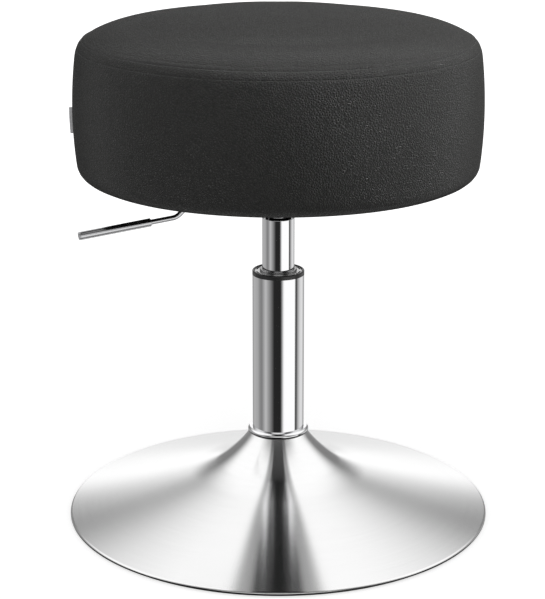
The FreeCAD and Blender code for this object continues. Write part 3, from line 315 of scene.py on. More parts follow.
@dataclass(frozen=True)
class Chrome(Finish):
    """Bright chrome plate with faint wiping marks, and a painted shade line at its foot where one is
    given.
    """

    colour: Colour = (0.86, 0.86, 0.87)
    roughness: float = 0.035
    # Height below which the plate is painted dark as contact shade; below the floor there is none
    foot: float = -1.0
    foot_shade_fade: float = 0.6 * MM

    def surface(self, graph: Graph) -> dict:
        """Gives the chrome's sockets."""
        where = graph.place()
        haze = graph.grains(where, 45.0, 4.0)
        wiped = graph.grains(graph.stretched(where, 1.0, 1.0, 0.06), 900.0, 2.0)
        z = graph.axes(where)[2]
        plate = graph.mix(haze, tuple(level * 0.97 for level in self.colour), self.colour)
        return {
            # Painted shade: below the foot height the plate fades to the painted shade colour, for the
            # shade where the ring meets the dish
            "Base Color": graph.mix(z.step(self.foot, self.foot + self.foot_shade_fade), PAINTED_SHADE, plate),
            "Metallic": 1.0,
            "Roughness": self.roughness + 0.02 * haze + 0.012 * wiped,
        }


@dataclass(frozen=True)
class SpunSteel(Finish):
    """Satin steel brushed in rings about the column, with painted shade under its lip."""

    dark: Colour = grey(0.85)
    light: Colour = grey(0.89)
    roughness: float = 0.15
    anisotropy: float = 1.0
    # Height below which the lip is painted dark, standing in for the shade where the rim meets the floor
    lip: float = 3.3 * MM
    lip_shade_fade: float = 0.5 * MM
    line_scale: tuple[float, float] = (2600.0, 2.5)
    band_scale: tuple[float, float] = (300.0, 1.2)
    depth: float = 0.003 * MM

    def surface(self, graph: Graph) -> dict:
        """Gives the brushed steel's sockets."""
        x, y, z = graph.axes(graph.place())
        radius, around = (x * x + y * y).root(), y.angle_to(x)
        flats = [graph.add("ShaderNodeCombineXYZ", sockets={0: radius * across, 1: around * along})
                 for across, along in (self.line_scale, self.band_scale)]
        lines = graph.grains(flats[0], 1.0, 3.0, 0.6)
        share = lines * 0.7 + graph.grains(flats[1], 1.0, 2.0) * 0.3
        steel = graph.mix(share.step(0.2, 0.8), self.dark, self.light)
        return {
            # Painted shade: low on the lip the steel fades to the painted shade colour, for the shade at
            # the floor under the rim
            "Base Color": graph.mix(z.step(self.lip, self.lip + self.lip_shade_fade), PAINTED_SHADE, steel),
            "Metallic": 1.0,
            "Roughness": self.roughness + 0.02 * (share - 0.5),
            "Anisotropic": self.anisotropy,
            "Anisotropic Rotation": 0.25,
            "Normal": graph.relief(lines, self.depth),
        }


@dataclass(frozen=True)
class BareMetal(Finish):
    """Plated or polished metal with a fine cloudy surface."""

    dark: Colour
    light: Colour
    roughness: float = 0.3
    grain: float = 400.0
    drawn_grain: float = 3000.0
    depth: float = 0.004 * MM

    def surface(self, graph: Graph) -> dict:
        """Gives the metal's sockets."""
        where = graph.place()
        cloud = graph.grains(where, self.grain, 4.0, 0.6)
        drawn = graph.grains(graph.stretched(where, 1.0, 1.0, 0.1), self.drawn_grain, 2.0)
        return {
            "Base Color": graph.mix(cloud.step(0.25, 0.75), self.dark, self.light),
            "Metallic": 1.0,
            "Roughness": self.roughness + 0.15 * (cloud - 0.5) + 0.06 * (drawn - 0.5),
            "Normal": graph.relief(drawn, self.depth),
        }


@dataclass(frozen=True)
class Coating(Finish):
    """Powder coat, moulded plastic or rubber with a fine even texture."""

    dark: Colour
    light: Colour
    roughness: float = 0.5
    grain: float = 1.2 * MM
    depth: float = 0.03 * MM
    dust: float = 0.0
    index: float = 1.5
    metal: float = 0.0

    def surface(self, graph: Graph) -> dict:
        """Gives the coating's sockets."""
        where = graph.place()
        peel = graph.grains(where, 1.0 / self.grain, 2.0)
        cloud = graph.grains(where, 30.0, 3.0)
        return {
            "Base Color": graph.mix(cloud.step(0.3, 0.75), self.dark, self.light),
            "Roughness": self.roughness + 0.12 * (peel - 0.5) + self.dust * cloud,
            "IOR": self.index,
            "Metallic": self.metal,
            "Normal": graph.relief(peel, self.depth),
        }


@dataclass(frozen=True)
class Plywood(Finish):
    """Raw birch plywood with its plies showing on the edge."""

    ply: float = 1.5 * MM
    dark: Colour = (0.36, 0.24, 0.13)
    light: Colour = (0.62, 0.47, 0.29)

    def surface(self, graph: Graph) -> dict:
        """Gives the plywood's sockets."""
        where = graph.place()
        z = graph.axes(where)[2]
        plies = (z / (2.0 * self.ply)).fraction().step(0.45, 0.55)
        figure = graph.grains(graph.stretched(where, 4.0, 60.0, 60.0), 8.0, 5.0, 0.6)
        return {
            "Base Color": graph.mix((figure * 0.7 + plies * 0.3).step(0.2, 0.8), self.dark, self.light),
            "Roughness": 0.6 + 0.2 * figure,
            "Normal": graph.relief(figure, 0.05 * MM),
        }


@dataclass(frozen=True)
class Foam(Finish):
    """Cut polyurethane foam with open pores."""

    pore_scale: float = 900.0
    dark: Colour = (0.42, 0.37, 0.24)
    light: Colour = (0.80, 0.75, 0.58)

    def surface(self, graph: Graph) -> dict:
        """Gives the foam's sockets."""
        pores = graph.cells(graph.place(), self.pore_scale).step(0.0, 0.3)
        return {
            "Base Color": graph.mix(pores, self.dark, self.light),
            "Roughness": 0.85 + 0.1 * pores,
            "Normal": graph.relief(pores, 0.3 * MM),
        }


@dataclass(frozen=True)
class SpunCloth(Finish):
    """Non-woven dust cloth, pressed in a fine diamond of dots."""

    pitch: float = 2.8 * MM
    dark: Colour = grey(0.012)
    light: Colour = grey(0.05)

    def surface(self, graph: Graph) -> dict:
        """Gives the dust cloth's sockets."""
        where = graph.place()
        x, y, _ = graph.axes(where)
        dots = (x * (TURN / self.pitch)).sine() * (y * (TURN / self.pitch)).sine()
        pressed = dots.step(0.35, 0.8)
        fibres = graph.grains(graph.shifted(where, 700.0, 0.002), 2500.0, 4.0, 0.7)
        return {
            "Base Color": graph.mix(fibres * (1.0 - 0.4 * pressed), self.dark, self.light),
            "Roughness": 0.8 + 0.15 * fibres,
            "Normal": graph.relief(fibres * 0.6 + (1.0 - pressed) * 0.4, 0.15 * MM),
        }


@dataclass(frozen=True)
class Weave(Finish):
    """Woven tape or sewing thread with its twist."""

    dark: Colour
    light: Colour
    pitch: float = 0.45 * MM

    def surface(self, graph: Graph) -> dict:
        """Gives the woven sockets."""
        where = graph.place()
        x, y, z = graph.axes(where)
        warp, weft = ((way * (TURN / self.pitch)).sine() for way in (z, x + y))
        twist = (warp * weft * 0.5 + 0.5).smaller(1.0)
        worn = graph.grains(where, 120.0, 3.0)
        return {
            "Base Color": graph.mix(twist * 0.7 + worn * 0.3, self.dark, self.light),
            "Roughness": 0.55 + 0.25 * twist,
            "Normal": graph.relief(twist, 0.06 * MM),
        }


FINISHES: dict[Slot, Finish] = {
    Slot.DISH: SpunSteel("spun_steel"),
    Slot.COLUMN: Chrome("tube_chrome"),
    # The ring gets a painted shade line below 83.7 mm, for the contact shade where it stands on the dish
    Slot.TRIM: Chrome("ring_chrome", (0.88, 0.88, 0.89), 0.03, foot=83.7 * MM),
    Slot.HANDLE: Chrome("rod_chrome", (0.66, 0.66, 0.67), 0.13),
    Slot.RUBBER: Coating("soft_rubber", grey(0.012), grey(0.028), 0.72, 0.5 * MM, 0.04 * MM, 0.1),
    Slot.STEEL: Coating("black_powder_coat", grey(0.018), grey(0.032), 0.42, 1.4 * MM, 0.035 * MM, 0.08),
    Slot.ZINC: BareMetal("zinc_plate", (0.42, 0.43, 0.45), (0.62, 0.62, 0.61), 0.34),
    Slot.SCREW: BareMetal("black_oxide", grey(0.03), grey(0.07), 0.38, 900.0),
    Slot.BEARING: BareMetal("ground_steel", (0.50, 0.50, 0.51), (0.64, 0.64, 0.65), 0.14, 60.0),
    Slot.CAGE: BareMetal("stamped_brass", (0.50, 0.36, 0.14), (0.72, 0.56, 0.28), 0.26, 150.0),
    Slot.PLASTIC: Coating("black_moulding", grey(0.014), grey(0.022), 0.34, 0.4 * MM, 0.01 * MM),
    Slot.GUIDE: Coating("grey_moulding", grey(0.50), grey(0.58), 0.24, 0.4 * MM, 0.012 * MM, metal=0.8),
    Slot.GLOSS: Coating("gloss_black_moulding", grey(0.010), grey(0.016), 0.14, 2.0 * MM, 0.004 * MM,
                        index=4.0),
    Slot.PLYWOOD: Plywood("birch_plywood"),
    Slot.FOAM: Foam("cut_foam"),
    Slot.LEATHER: Leather("black_faux_leather"),
    Slot.CLOTH: SpunCloth("spun_cloth"),
    Slot.TAG: Weave("tag_tape", (0.40, 0.40, 0.41), (0.66, 0.66, 0.67)),
}
THREAD = Weave("black_thread", grey(0.008), grey(0.03), 0.6 * MM)


# Outlines and meshes


@dataclass(frozen=True)
class Corner:
    """A corner of a drawn outline, in millimetres.

    Attributes:
        across: Distance from the axis.
        up: Height.
        roll: Radius of the rounded corner.
        arc: Radius of the side that follows, or 0 for a straight one.
        turn: 1 where that side bends to the left, and -1 to the right.
    """

    across: float
    up: float
    roll: float = 0.0
    arc: float = 0.0
    turn: int = 1

    @property
    def point(self) -> Vector:
        """The corner as a vector."""
        return Vector((self.across, self.up))


def bend_points(start: Vector, end: Vector, radius: float, turn: int, step: float) -> list[Vector]:
    """Points on an arc between two points, without its ends.

    Args:
        start: Where the arc starts.
        end: Where it ends.
        radius: The arc's radius.
        turn: 1 where it bends to the left, and -1 to the right.
        step: The most that it turns between two points, in radians.

    Returns:
        The points between the ends.
    """
    chord = end - start
    left = Vector((-chord.y, chord.x)).normalized()
    rise = math.sqrt(max(radius ** 2 - (chord.length / 2) ** 2, 0.0))
    centre = (start + end) / 2 + left * (rise * turn)
    first, last = (math.atan2(point.y - centre.y, point.x - centre.x) for point in (start, end))
    sweep = (last - first) % TURN if turn > 0 else -((first - last) % TURN)
    count = max(2, math.ceil(abs(sweep) / step), math.ceil(abs(sweep) * radius / LONGEST_CHORD))
    angles = [first + sweep * index / count for index in range(1, count)]
    return [centre + Vector((math.cos(a), math.sin(a))) * radius for a in angles]


def straight_points(start: Vector, end: Vector, margin: float = 0.25, step: float = 8.0) -> list[Vector]:
    """Points on a straight side: one close to each end, so that shading stays crisp there."""
    length = (end - start).length
    if length < 4.0 * margin:
        return []
    way = (end - start) / length
    inner = length - 2.0 * margin
    count = max(1, math.ceil(inner / step))
    return [start + way * (margin + inner * index / count) for index in range(count + 1)]


def trace(corners: Sequence[Corner], closed: bool = True, step: float = 0.14) -> list[Vector]:
    """Points along an outline with its rounded corners and bent sides.

    Args:
        corners: The outline's corners in drawing order.
        closed: Whether the last corner runs back to the first.
        step: The most that a bend turns between two points, in radians.

    Returns:
        The outline's points, in millimetres.
    """
    count = len(corners)
    rounded = []
    for index, corner in enumerate(corners):
        here = corner.point
        if corner.roll <= 0.0:
            rounded.append([here])
            continue
        inward = (here - corners[index - 1].point).normalized()
        outward = (corners[(index + 1) % count].point - here).normalized()
        reach = corner.roll * math.tan(inward.angle(outward) / 2)
        side = 1 if inward.x * outward.y - inward.y * outward.x > 0 else -1
        ends = here - inward * reach, here + outward * reach
        rounded.append([ends[0], *bend_points(*ends, corner.roll, side, step), ends[1]])
    points = []
    for index, corner in enumerate(corners):
        points.extend(rounded[index])
        if not closed and index == count - 1:
            break
        start, following = rounded[index][-1], rounded[(index + 1) % count][0]
        if corner.arc > 0.0:
            points.extend(bend_points(start, following, corner.arc, corner.turn, step))
        else:
            points.extend(straight_points(start, following))
    clean = [points[0]]
    for point in points[1:]:
        if (point - clean[-1]).length > SAME_POINT:
            clean.append(point)
    if closed and (clean[0] - clean[-1]).length <= SAME_POINT:
        clean.pop()
    return clean


def ring_outline(inner: float, outer: float, low: float, high: float,
                 rolls: Sequence[float] = (0.0, 0.0, 0.0, 0.0)) -> list[Vector]:
    """Points along the section of a plain ring.

    Args:
        inner: Its inner radius.
        outer: Its outer radius.
        low: The height of its foot.
        high: The height of its top.
        rolls: The radii of its corners: inner and outer below, outer and inner above.

    Returns:
        The outline's points, in millimetres.
    """
    places = (inner, low), (outer, low), (outer, high), (inner, high)
    return trace([Corner(*place, roll) for place, roll in zip(places, rolls)])


def about(angle: float, across: float, up: float) -> Vector:
    """Gives the place at an angle about the axis."""
    return Vector((across * math.cos(angle), across * math.sin(angle), up))


def make_piece(name: str, points: Sequence[Vector], faces: Sequence[Sequence[int]],
               crease: float = 32.0) -> bpy.types.Object:
    """Makes an object from points and faces, shaded smooth up to a crease angle.

    Args:
        name: The piece's name.
        points: Its points, in metres.
        faces: Its faces, as point numbers.
        crease: The angle from which an edge stays sharp, in degrees.

    Returns:
        The new object.
    """
    mesh = bpy.data.meshes.new(name)
    mesh.from_pydata([tuple(point) for point in points], [], faces)
    work = bmesh.new()
    work.from_mesh(mesh)
    bmesh.ops.recalc_face_normals(work, faces=work.faces)
    work.to_mesh(mesh)
    work.free()
    mesh.shade_smooth()
    mesh.set_sharp_from_angle(angle=math.radians(crease))
    piece = bpy.data.objects.new(name, mesh)
    bpy.context.scene.collection.objects.link(piece)
    return piece


def lathe(name: str, outline: Sequence[Vector], segments: int = 192, closed: bool = True,
          lift: Lift | None = None, crease: float = 32.0) -> bpy.types.Object:
    """Turns an outline about the column's axis.

    Args:
        name: The piece's name.
        outline: Points across and up, in millimetres.
        segments: How many steps make the full turn.
        closed: Whether the outline's last point joins its first.
        lift: Gives a move across and up for a point's number and angle, in millimetres.
        crease: The angle from which an edge stays sharp, in degrees.

    Returns:
        The new object.
    """
    points, rings = [], []
    for row, spot in enumerate(outline):
        if spot.x < ON_AXIS:
            rings.append([len(points)])
            middle = spot + lift(row, 0.0) if lift else spot
            points.append(Vector((0.0, 0.0, middle.y * MM)))
            continue
        rings.append(range(len(points), len(points) + segments))
        for step in range(segments):
            angle = TURN * step / segments
            place = spot + lift(row, angle) if lift else spot
            points.append(about(angle, place.x, place.y) * MM)
    faces = []
    for row in range(len(rings) if closed else len(rings) - 1):
        low, high = rings[row], rings[(row + 1) % len(rings)]
        if len(low) == len(high) == 1:
            continue
        for step in range(segments):
            following = (step + 1) % segments
            if len(low) == 1:
                faces.append((low[0], high[step], high[following]))
            elif len(high) == 1:
                faces.append((low[step], low[following], high[0]))
            else:
                faces.append((low[step], low[following], high[following], high[step]))
    return make_piece(name, points, faces, crease)


def tube_faces(rings: int, sides: int, first: int = 0) -> list[tuple[int, ...]]:
    """Gives the faces of a tube that is closed at both ends.

    Args:
        rings: How many rings of points it has.
        sides: How many points a ring has.
        first: The number of its first point.

    Returns:
        The faces, as point numbers.
    """
    faces, last = [], first + (rings - 1) * sides
    for low in range(first, last, sides):
        for step in range(sides):
            following = (step + 1) % sides
            faces.append((low + step, low + following, low + sides + following, low + sides + step))
    return faces + [tuple(range(first, first + sides)), tuple(range(last, last + sides))]


def sweep(name: str, path: Sequence[Vector], section: Callable[[float], Sequence[Vector]],
          side: Vector) -> bpy.types.Object:
    """Sweeps a section along a path that lies in one plane.

    Args:
        name: The piece's name.
        path: The path's points, in metres.
        section: Gives the section at a distance along the path, across and up, in metres.
        side: The direction square to the path's plane.

    Returns:
        The new object, closed at both ends.
    """
    points, run = [], 0.0
    for index, here in enumerate(path):
        before, after = path[max(index - 1, 0)], path[min(index + 1, len(path) - 1)]
        if index:
            run += (here - before).length
        up = side.cross((after - before).normalized())
        points.extend(here + side * spot.x + up * spot.y for spot in section(run))
    return make_piece(name, points, tube_faces(len(path), len(points) // len(path)))


def settle(piece: bpy.types.Object, body: Body, slot: Slot, nodes: Sequence[str] = (),
           finish: Finish | None = None, mirrored: bool = True) -> bpy.types.Object:
    """Dresses a piece, puts it on its body and hides the carried-over nodes that it replaces.

    Args:
        piece: The new piece.
        body: The body that it moves with.
        slot: The record's slot that its finish comes from.
        nodes: The carried-over nodes that it replaces.
        finish: A finish of its own, where it isn't the slot's.
        mirrored: Whether polished pieces show it.

    Returns:
        The piece.
    """
    piece.data.materials.append((finish or FINISHES[slot]).material())
    piece.visible_glossy = mirrored
    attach(piece, body.value)
    if nodes:
        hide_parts(*nodes)
    log.info("%s on %s, %d faces", piece.name, body.value, len(piece.data.polygons))
    return piece


# The stool's sub-assemblies


@dataclass
class Base:
    """The spun dish with its trumpet neck."""

    rim_radius: float = 205.5
    rim_height: float = 4.6
    rim_roll: float = 2.5
    lip_bottom: float = 2.2
    wall: float = 1.5
    kink_radius: float = 72.0
    kink_height: float = 45.5
    neck_radius: float = 28.3
    neck_height: float = 81.8
    throat_radius: float = 100.0
    kink_reach: float = 12.0
    kink_rows: int = 10

    def eased(self, points: Sequence[Vector], across: float, up: float) -> list[Vector]:
        """Rounds the bend where the throat runs into the cone.

        Args:
            points: The dish's outline.
            across: The bend's distance from the axis.
            up: Its height.

        Returns:
            The outline with the bend drawn as a smooth curve.
        """
        bend = Vector((across, up))
        start = end = min(range(len(points)), key=lambda index: (points[index] - bend).length)
        while (points[start] - bend).length < self.kink_reach:
            start -= 1
        while (points[end] - bend).length < self.kink_reach:
            end += 1
        shares = [index / self.kink_rows for index in range(1, self.kink_rows)]
        curve = [points[start].lerp(bend, share).lerp(bend.lerp(points[end], share), share)
                 for share in shares]
        return list(points[:start + 1]) + curve + list(points[end:])

    def inner(self, across: float, up: float) -> tuple[float, float]:
        """Moves a point on the throat's outer side to its inner side."""
        run, drop = self.kink_radius - self.neck_radius, self.neck_height - self.kink_height
        chord = math.hypot(run, drop)
        rise = math.sqrt(self.throat_radius ** 2 - chord ** 2 / 4.0)
        centre_across = (self.neck_radius + self.kink_radius) / 2.0 + rise * drop / chord
        centre_up = (self.neck_height + self.kink_height) / 2.0 + rise * run / chord
        share = self.wall / self.throat_radius
        return across - (centre_across - across) * share, up - (centre_up - up) * share

    def build(self) -> None:
        """Builds the dish."""
        slope = (self.kink_height - self.rim_height) / (self.rim_radius - self.kink_radius)
        lip = self.rim_radius - self.wall
        under = self.kink_height - slope * (lip - self.kink_radius) - self.wall * math.hypot(1.0, slope)
        kink_inner = self.inner(self.kink_radius, self.kink_height)
        outline = trace([
            Corner(self.neck_radius, self.neck_height, arc=self.throat_radius),
            Corner(self.kink_radius, self.kink_height),
            Corner(self.rim_radius, self.rim_height, roll=self.rim_roll),
            Corner(self.rim_radius, self.lip_bottom),
            Corner(lip, self.lip_bottom),
            Corner(lip, under, roll=self.rim_roll - self.wall),
            Corner(*kink_inner, arc=self.throat_radius + self.wall, turn=-1),
            Corner(*self.inner(self.neck_radius, self.neck_height)),
        ], step=0.05)
        outline = self.eased(outline, self.kink_radius, self.kink_height)
        outline = self.eased(outline, *kink_inner)
        settle(lathe("base_dish", outline, 288), Body.BASE, Slot.DISH, ["base_shell"])


@dataclass
class Column:
    """The stand tube, its trim ring and collar, and the gas cylinder inside it."""

    tube_radius: float = 25.0
    tube_wall: float = 1.5
    tube_foot: float = 16.5
    tube_top: float = 241.4
    trim_radius: float = 29.6
    trim_bottom: float = 81.85
    trim_top: float = 87.0
    trim_play: float = 0.1
    trim_rolls: tuple[float, float] = (1.9, 2.9)
    skirt_bottom: float = 75.8
    skirt_radius: float = 26.9
    collar_height: float = 4.2
    collar_inner: float = 22.9
    face_drop: float = 0.9
    wiper_radius: float = 17.8
    wiper_height: float = 2.2
    cylinder_radius: float = 15.5
    cylinder_wall: float = 1.8
    cylinder_foot: float = 95.0
    shoulder: float = 297.0
    cylinder_top: float = 326.0
    taper_foot: float = 14.2
    taper_top: float = 13.4
    taper_wall: float = 2.2
    taper_rise: float = 2.0
    swage: float = 2.7
    mouth: float = 7.8
    gap: float = 0.05
    segments: int = 256

    def build(self) -> None:
        """Builds every turned piece of the column."""
        self.build_tube()
        self.build_trim()
        self.build_collar()
        self.build_cylinder()

    def build_tube(self) -> None:
        """Builds the stand tube."""
        outline = ring_outline(self.tube_radius - self.tube_wall, self.tube_radius,
                               self.tube_foot, self.tube_top)
        settle(lathe("column_tube", outline, self.segments), Body.BASE, Slot.COLUMN, ["stand_tube"])

    def build_trim(self) -> None:
        """Builds the chrome ring over the neck, rounded to a bead."""
        inner = self.tube_radius + self.trim_play
        outline = trace([
            Corner(inner, self.skirt_bottom),
            Corner(self.skirt_radius, self.skirt_bottom),
            Corner(self.skirt_radius, self.trim_bottom),
            Corner(self.trim_radius, self.trim_bottom, roll=self.trim_rolls[0]),
            Corner(self.trim_radius, self.trim_top, roll=self.trim_rolls[1]),
            Corner(inner, self.trim_top),
        ], step=0.08)
        settle(lathe("neck_ring", outline, self.segments), Body.BASE, Slot.TRIM, ["trim_ring"])

    def build_collar(self) -> None:
        """Builds the black collar and the glossy wiper."""
        top, rolls = self.tube_top + self.collar_height, (0.0, 0.0, 1.0, 0.5)
        outline = ring_outline(self.collar_inner, self.tube_radius, self.tube_top, top, rolls)
        settle(lathe("column_collar", outline), Body.BASE, Slot.PLASTIC, ["collar"])
        face = top - self.face_drop
        outline = ring_outline(self.cylinder_radius + self.gap, self.wiper_radius,
                               face, face + self.wiper_height, rolls)
        settle(lathe("column_wiper", outline), Body.BASE, Slot.GLOSS, ["wiper_ring"])

    def build_cylinder(self) -> None:
        """Builds the gas cylinder with its rolled foot and swaged taper."""
        bore = self.cylinder_radius - self.cylinder_wall
        taper_bore = self.taper_top - self.taper_wall
        taper_up = self.shoulder + (self.cylinder_radius - self.taper_foot) * self.taper_rise
        lid = self.cylinder_top - self.cylinder_wall
        floor = self.cylinder_foot + self.cylinder_wall
        outline = trace([
            Corner(self.mouth, self.cylinder_foot),
            Corner(self.cylinder_radius, self.cylinder_foot, roll=1.5),
            Corner(self.cylinder_radius, self.shoulder),
            Corner(self.taper_foot, taper_up),
            Corner(self.taper_top, self.cylinder_top, roll=1.0),
            Corner(self.mouth, self.cylinder_top),
            Corner(self.mouth, lid),
            Corner(taper_bore, lid),
            Corner(taper_bore, self.shoulder - self.cylinder_wall),
            Corner(bore, self.shoulder - self.cylinder_wall - self.swage),
            Corner(bore, floor),
            Corner(self.mouth, floor),
        ])
        settle(lathe("gas_cylinder", outline), Body.SEAT, Slot.COLUMN, ["pressure_tube"])


@dataclass
class Lever:
    """The bent chrome lever with its handle sleeve."""

    angle: float = 198.2
    height: float = 332.2
    radius: float = 2.5
    inner_end: float = 5.5
    bend_out: float = 70.7
    low_out: float = 100.1
    low_height: float = 305.0
    end_out: float = 192.6
    end_height: float = 294.5
    bend_radius: float = 12.0
    finger_half: float = 4.0
    finger_length: float = 20.0
    finger_blend: float = 6.0
    finger_flat: float = 0.35
    finger_square: float = 0.45
    sides: int = 40
    path_step: float = 2.0
    sleeve_radius: float = 4.0
    sleeve_length: float = 68.0
    cap_length: float = 5.0
    cap_head: float = 1.0
    cap_play: float = 0.3
    dimple: tuple[tuple[float, float], ...] = ((1.6, 0.0), (1.1, 0.5), (0.0, 0.6))
    segments: int = 64
    gap: float = 0.05

    def section(self, run: float) -> list[Vector]:
        """The rod's section at a distance from its inner end: round, and flattened at the finger."""
        share = min(max((self.finger_length * MM - run) / (self.finger_blend * MM), 0.0), 1.0)
        share = share * share * (3.0 - 2.0 * share)
        half = (self.radius + (self.finger_half - self.radius) * share) * MM
        top = self.radius * (1.0 - self.finger_flat * share) * MM
        low = self.radius * MM
        power = 1.0 - self.finger_square * share
        shape = []
        for index in range(self.sides):
            angle = TURN * index / self.sides
            across, up = (math.copysign(abs(level) ** power, level)
                          for level in (math.cos(angle), math.sin(angle)))
            shape.append(Vector((across * half, up * (top if up > 0 else low))))
        return shape

    def build(self) -> None:
        """Builds the rod, its sleeve and the end cap, with the lever's own X running out along it."""
        place = Matrix.Rotation(math.radians(self.angle), 4, "Z")
        side = (place @ Vector((0.0, -1.0, 0.0))).normalized()
        handle = Vector((self.end_out - self.low_out, self.end_height - self.low_height)).normalized()
        end = Vector((self.end_out, self.end_height))
        rod_end = end - handle * self.cap_length
        line = trace([
            Corner(-self.inner_end, self.height),
            Corner(self.bend_out, self.height, roll=self.bend_radius),
            Corner(self.low_out, self.low_height, roll=self.bend_radius),
            Corner(*rod_end),
        ], closed=False, step=0.06)
        dense = []
        for first, second in zip(line, line[1:]):
            parts = max(1, math.ceil((second - first).length / self.path_step))
            dense.extend(first.lerp(second, index / parts) for index in range(parts))
        dense.append(line[-1])
        path = [place @ (Vector((spot.x, 0.0, spot.y)) * MM) for spot in dense]
        settle(sweep("lever_bar", path, self.section, side), Body.LEVER, Slot.HANDLE, ["lever_rod"])

        start = end - handle * self.sleeve_length
        tilt = Vector((handle.x, 0.0, handle.y)).to_track_quat("Z", "Y").to_matrix().to_4x4()
        origin = Matrix.Translation(Vector((start.x, 0.0, start.y)) * MM)
        sleeve = ring_outline(self.radius + self.gap, self.sleeve_radius, 0.0, self.sleeve_length,
                              (0.0, 0.5, 0.5, 0.0))
        plug = self.sleeve_length - self.cap_length + self.cap_play
        rim = self.sleeve_radius - self.cap_play
        head = self.sleeve_length + self.cap_head
        cap = trace([
            Corner(0.0, plug),
            Corner(self.radius, plug),
            Corner(self.radius, self.sleeve_length + self.gap),
            Corner(rim, self.sleeve_length + self.gap),
            Corner(rim, head, roll=0.5),
            *(Corner(out, head - deep) for out, deep in self.dimple),
        ], closed=False)
        for name, outline, closed, node in (("lever_sleeve", sleeve, True, "handle_sleeve"),
                                            ("lever_cap", cap, False, "handle_cap")):
            piece = lathe(name, outline, self.segments, closed)
            piece.data.transform(place @ origin @ tilt)
            settle(piece, Body.LEVER, Slot.HANDLE, [node])


@dataclass
class Spot:
    """A point on the cushion's outer side.

    Attributes:
        place: Distance from the axis and height, in millimetres.
        out: Direction square to the surface.
        run: Distance along its chain from the seam.
    """

    place: Vector
    out: Vector
    run: float


@dataclass
class Swelling:
    """How a sewn pad swells under its filling, worked out once by cloth simulation.

    Attributes:
        slack: How much lower the pad starts at its middle, in millimetres.
        most: The most that a point may move, in millimetres.
        voxel: The size of the pad's even mesh, in millimetres.
        pressure: The filling's pressure.
        frames: How many steps the simulation takes.
        sewn_reach: How far from the seam the pad is held, in millimetres.
        neighbours: How many simulated points a move is smoothed over.
        smoothing: How far that smoothing reaches, in voxels.
        fill: The filling's share of the pressure.
        fill_change: How much that share varies over the pad.
        fill_scale: How many times it varies in a metre.
        segments: How many steps make the pad's full turn.
        quality: The simulation's steps in a frame.
    """

    slack: float = 7.4
    most: float = 8.0
    voxel: float = 6.0
    pressure: float = 4.0
    frames: int = 20
    sewn_reach: float = 7.0
    neighbours: int = 28
    smoothing: float = 2.2
    fill: float = 0.85
    fill_change: float = 0.22
    fill_scale: float = 13.0
    segments: int = 128
    quality: int = 5

    def __post_init__(self) -> None:
        """Starts with nothing simulated."""
        self.tree = None
        self.moves: list[Vector] = []

    def lowered(self, place: Vector, seam: Vector) -> float:
        """How far the start shape lies below the finished one."""
        if place.y < seam.y:
            return 0.0
        return self.slack * max(0.0, 1.0 - (place.x / seam.x) ** 2)

    def even_pad(self, outline: Sequence[Vector]) -> bpy.types.Object:
        """Makes the closed pad with a mesh of even faces."""
        pad = lathe("pad", outline, self.segments, closed=False)
        evener = pad.modifiers.new("even", "REMESH")
        evener.mode = "VOXEL"
        evener.voxel_size = self.voxel * MM
        graph = bpy.context.evaluated_depsgraph_get()
        even = bpy.data.meshes.new_from_object(pad.evaluated_get(graph))
        pad.modifiers.clear()
        pad.data = even
        return pad

    def run(self, outline: Sequence[Vector], seam: Vector, bottom: float) -> None:
        """Simulates the pad and keeps how each of its points moved.

        Args:
            outline: The finished outer side from the axis at the top to the axis below.
            seam: The sewn ring that stays where it is.
            bottom: The height up to which the pad is held on its board.
        """
        pad = self.even_pad([Vector((spot.x, spot.y - self.lowered(spot, seam))) for spot in outline])
        rest = [point.co.copy() for point in pad.data.vertices]
        sewn, filling = (pad.vertex_groups.new(name=name) for name in ("sewn", "filling"))
        for index, spot in enumerate(rest):
            across, up = math.hypot(spot.x, spot.y) / MM, spot.z / MM
            if (Vector((across, up)) - seam).length < self.sewn_reach or up < bottom:
                sewn.add([index], 1.0, "REPLACE")
            share = self.fill + self.fill_change * noise.noise(spot * self.fill_scale)
            filling.add([index], min(max(share, 0.0), 1.0), "REPLACE")
        cloth = pad.modifiers.new("cloth", "CLOTH")
        cloth.settings.quality = self.quality
        cloth.settings.use_pressure = True
        cloth.settings.uniform_pressure_force = self.pressure
        cloth.settings.vertex_group_mass = "sewn"
        cloth.settings.vertex_group_pressure = "filling"
        cloth.settings.effector_weights.gravity = 0.0
        cloth.collision_settings.use_collision = False
        for step in range(1, self.frames + 1):
            bpy.context.scene.frame_set(step)
        swollen = pad.evaluated_get(bpy.context.evaluated_depsgraph_get()).data
        self.tree = KDTree(len(rest))
        for index, (point, before) in enumerate(zip(swollen.vertices, rest)):
            move = point.co - before
            if move.length > self.most * MM:
                move = move.normalized() * (self.most * MM)
            self.moves.append(move)
            self.tree.insert(before, index)
        self.tree.balance()
        bpy.data.objects.remove(pad)
        bpy.context.scene.frame_set(1)
        log.info("pad swollen, %d points", len(rest))

    def rise(self, spot: Spot, angle: float, seam: Vector) -> float:
        """How far the swollen pad stands proud of the finished outline at a place.

        Args:
            spot: The place on the outer side.
            angle: The angle about the column.
            seam: The sewn ring.

        Returns:
            The rise along the direction square to the surface, in millimetres.
        """
        if self.tree is None:
            return 0.0
        low = self.lowered(spot.place, seam)
        where = about(angle, spot.place.x, spot.place.y - low) * MM
        total, move = 0.0, Vector((0.0, 0.0, 0.0))
        for _, index, away in self.tree.find_n(where, self.neighbours):
            weight = math.exp(-(away / (self.smoothing * self.voxel * MM)) ** 2)
            move += self.moves[index] * weight
            total += weight
        move /= total * MM
        outward = move.x * math.cos(angle) + move.y * math.sin(angle)
        return outward * spot.out.x + (move.z - low) * spot.out.y


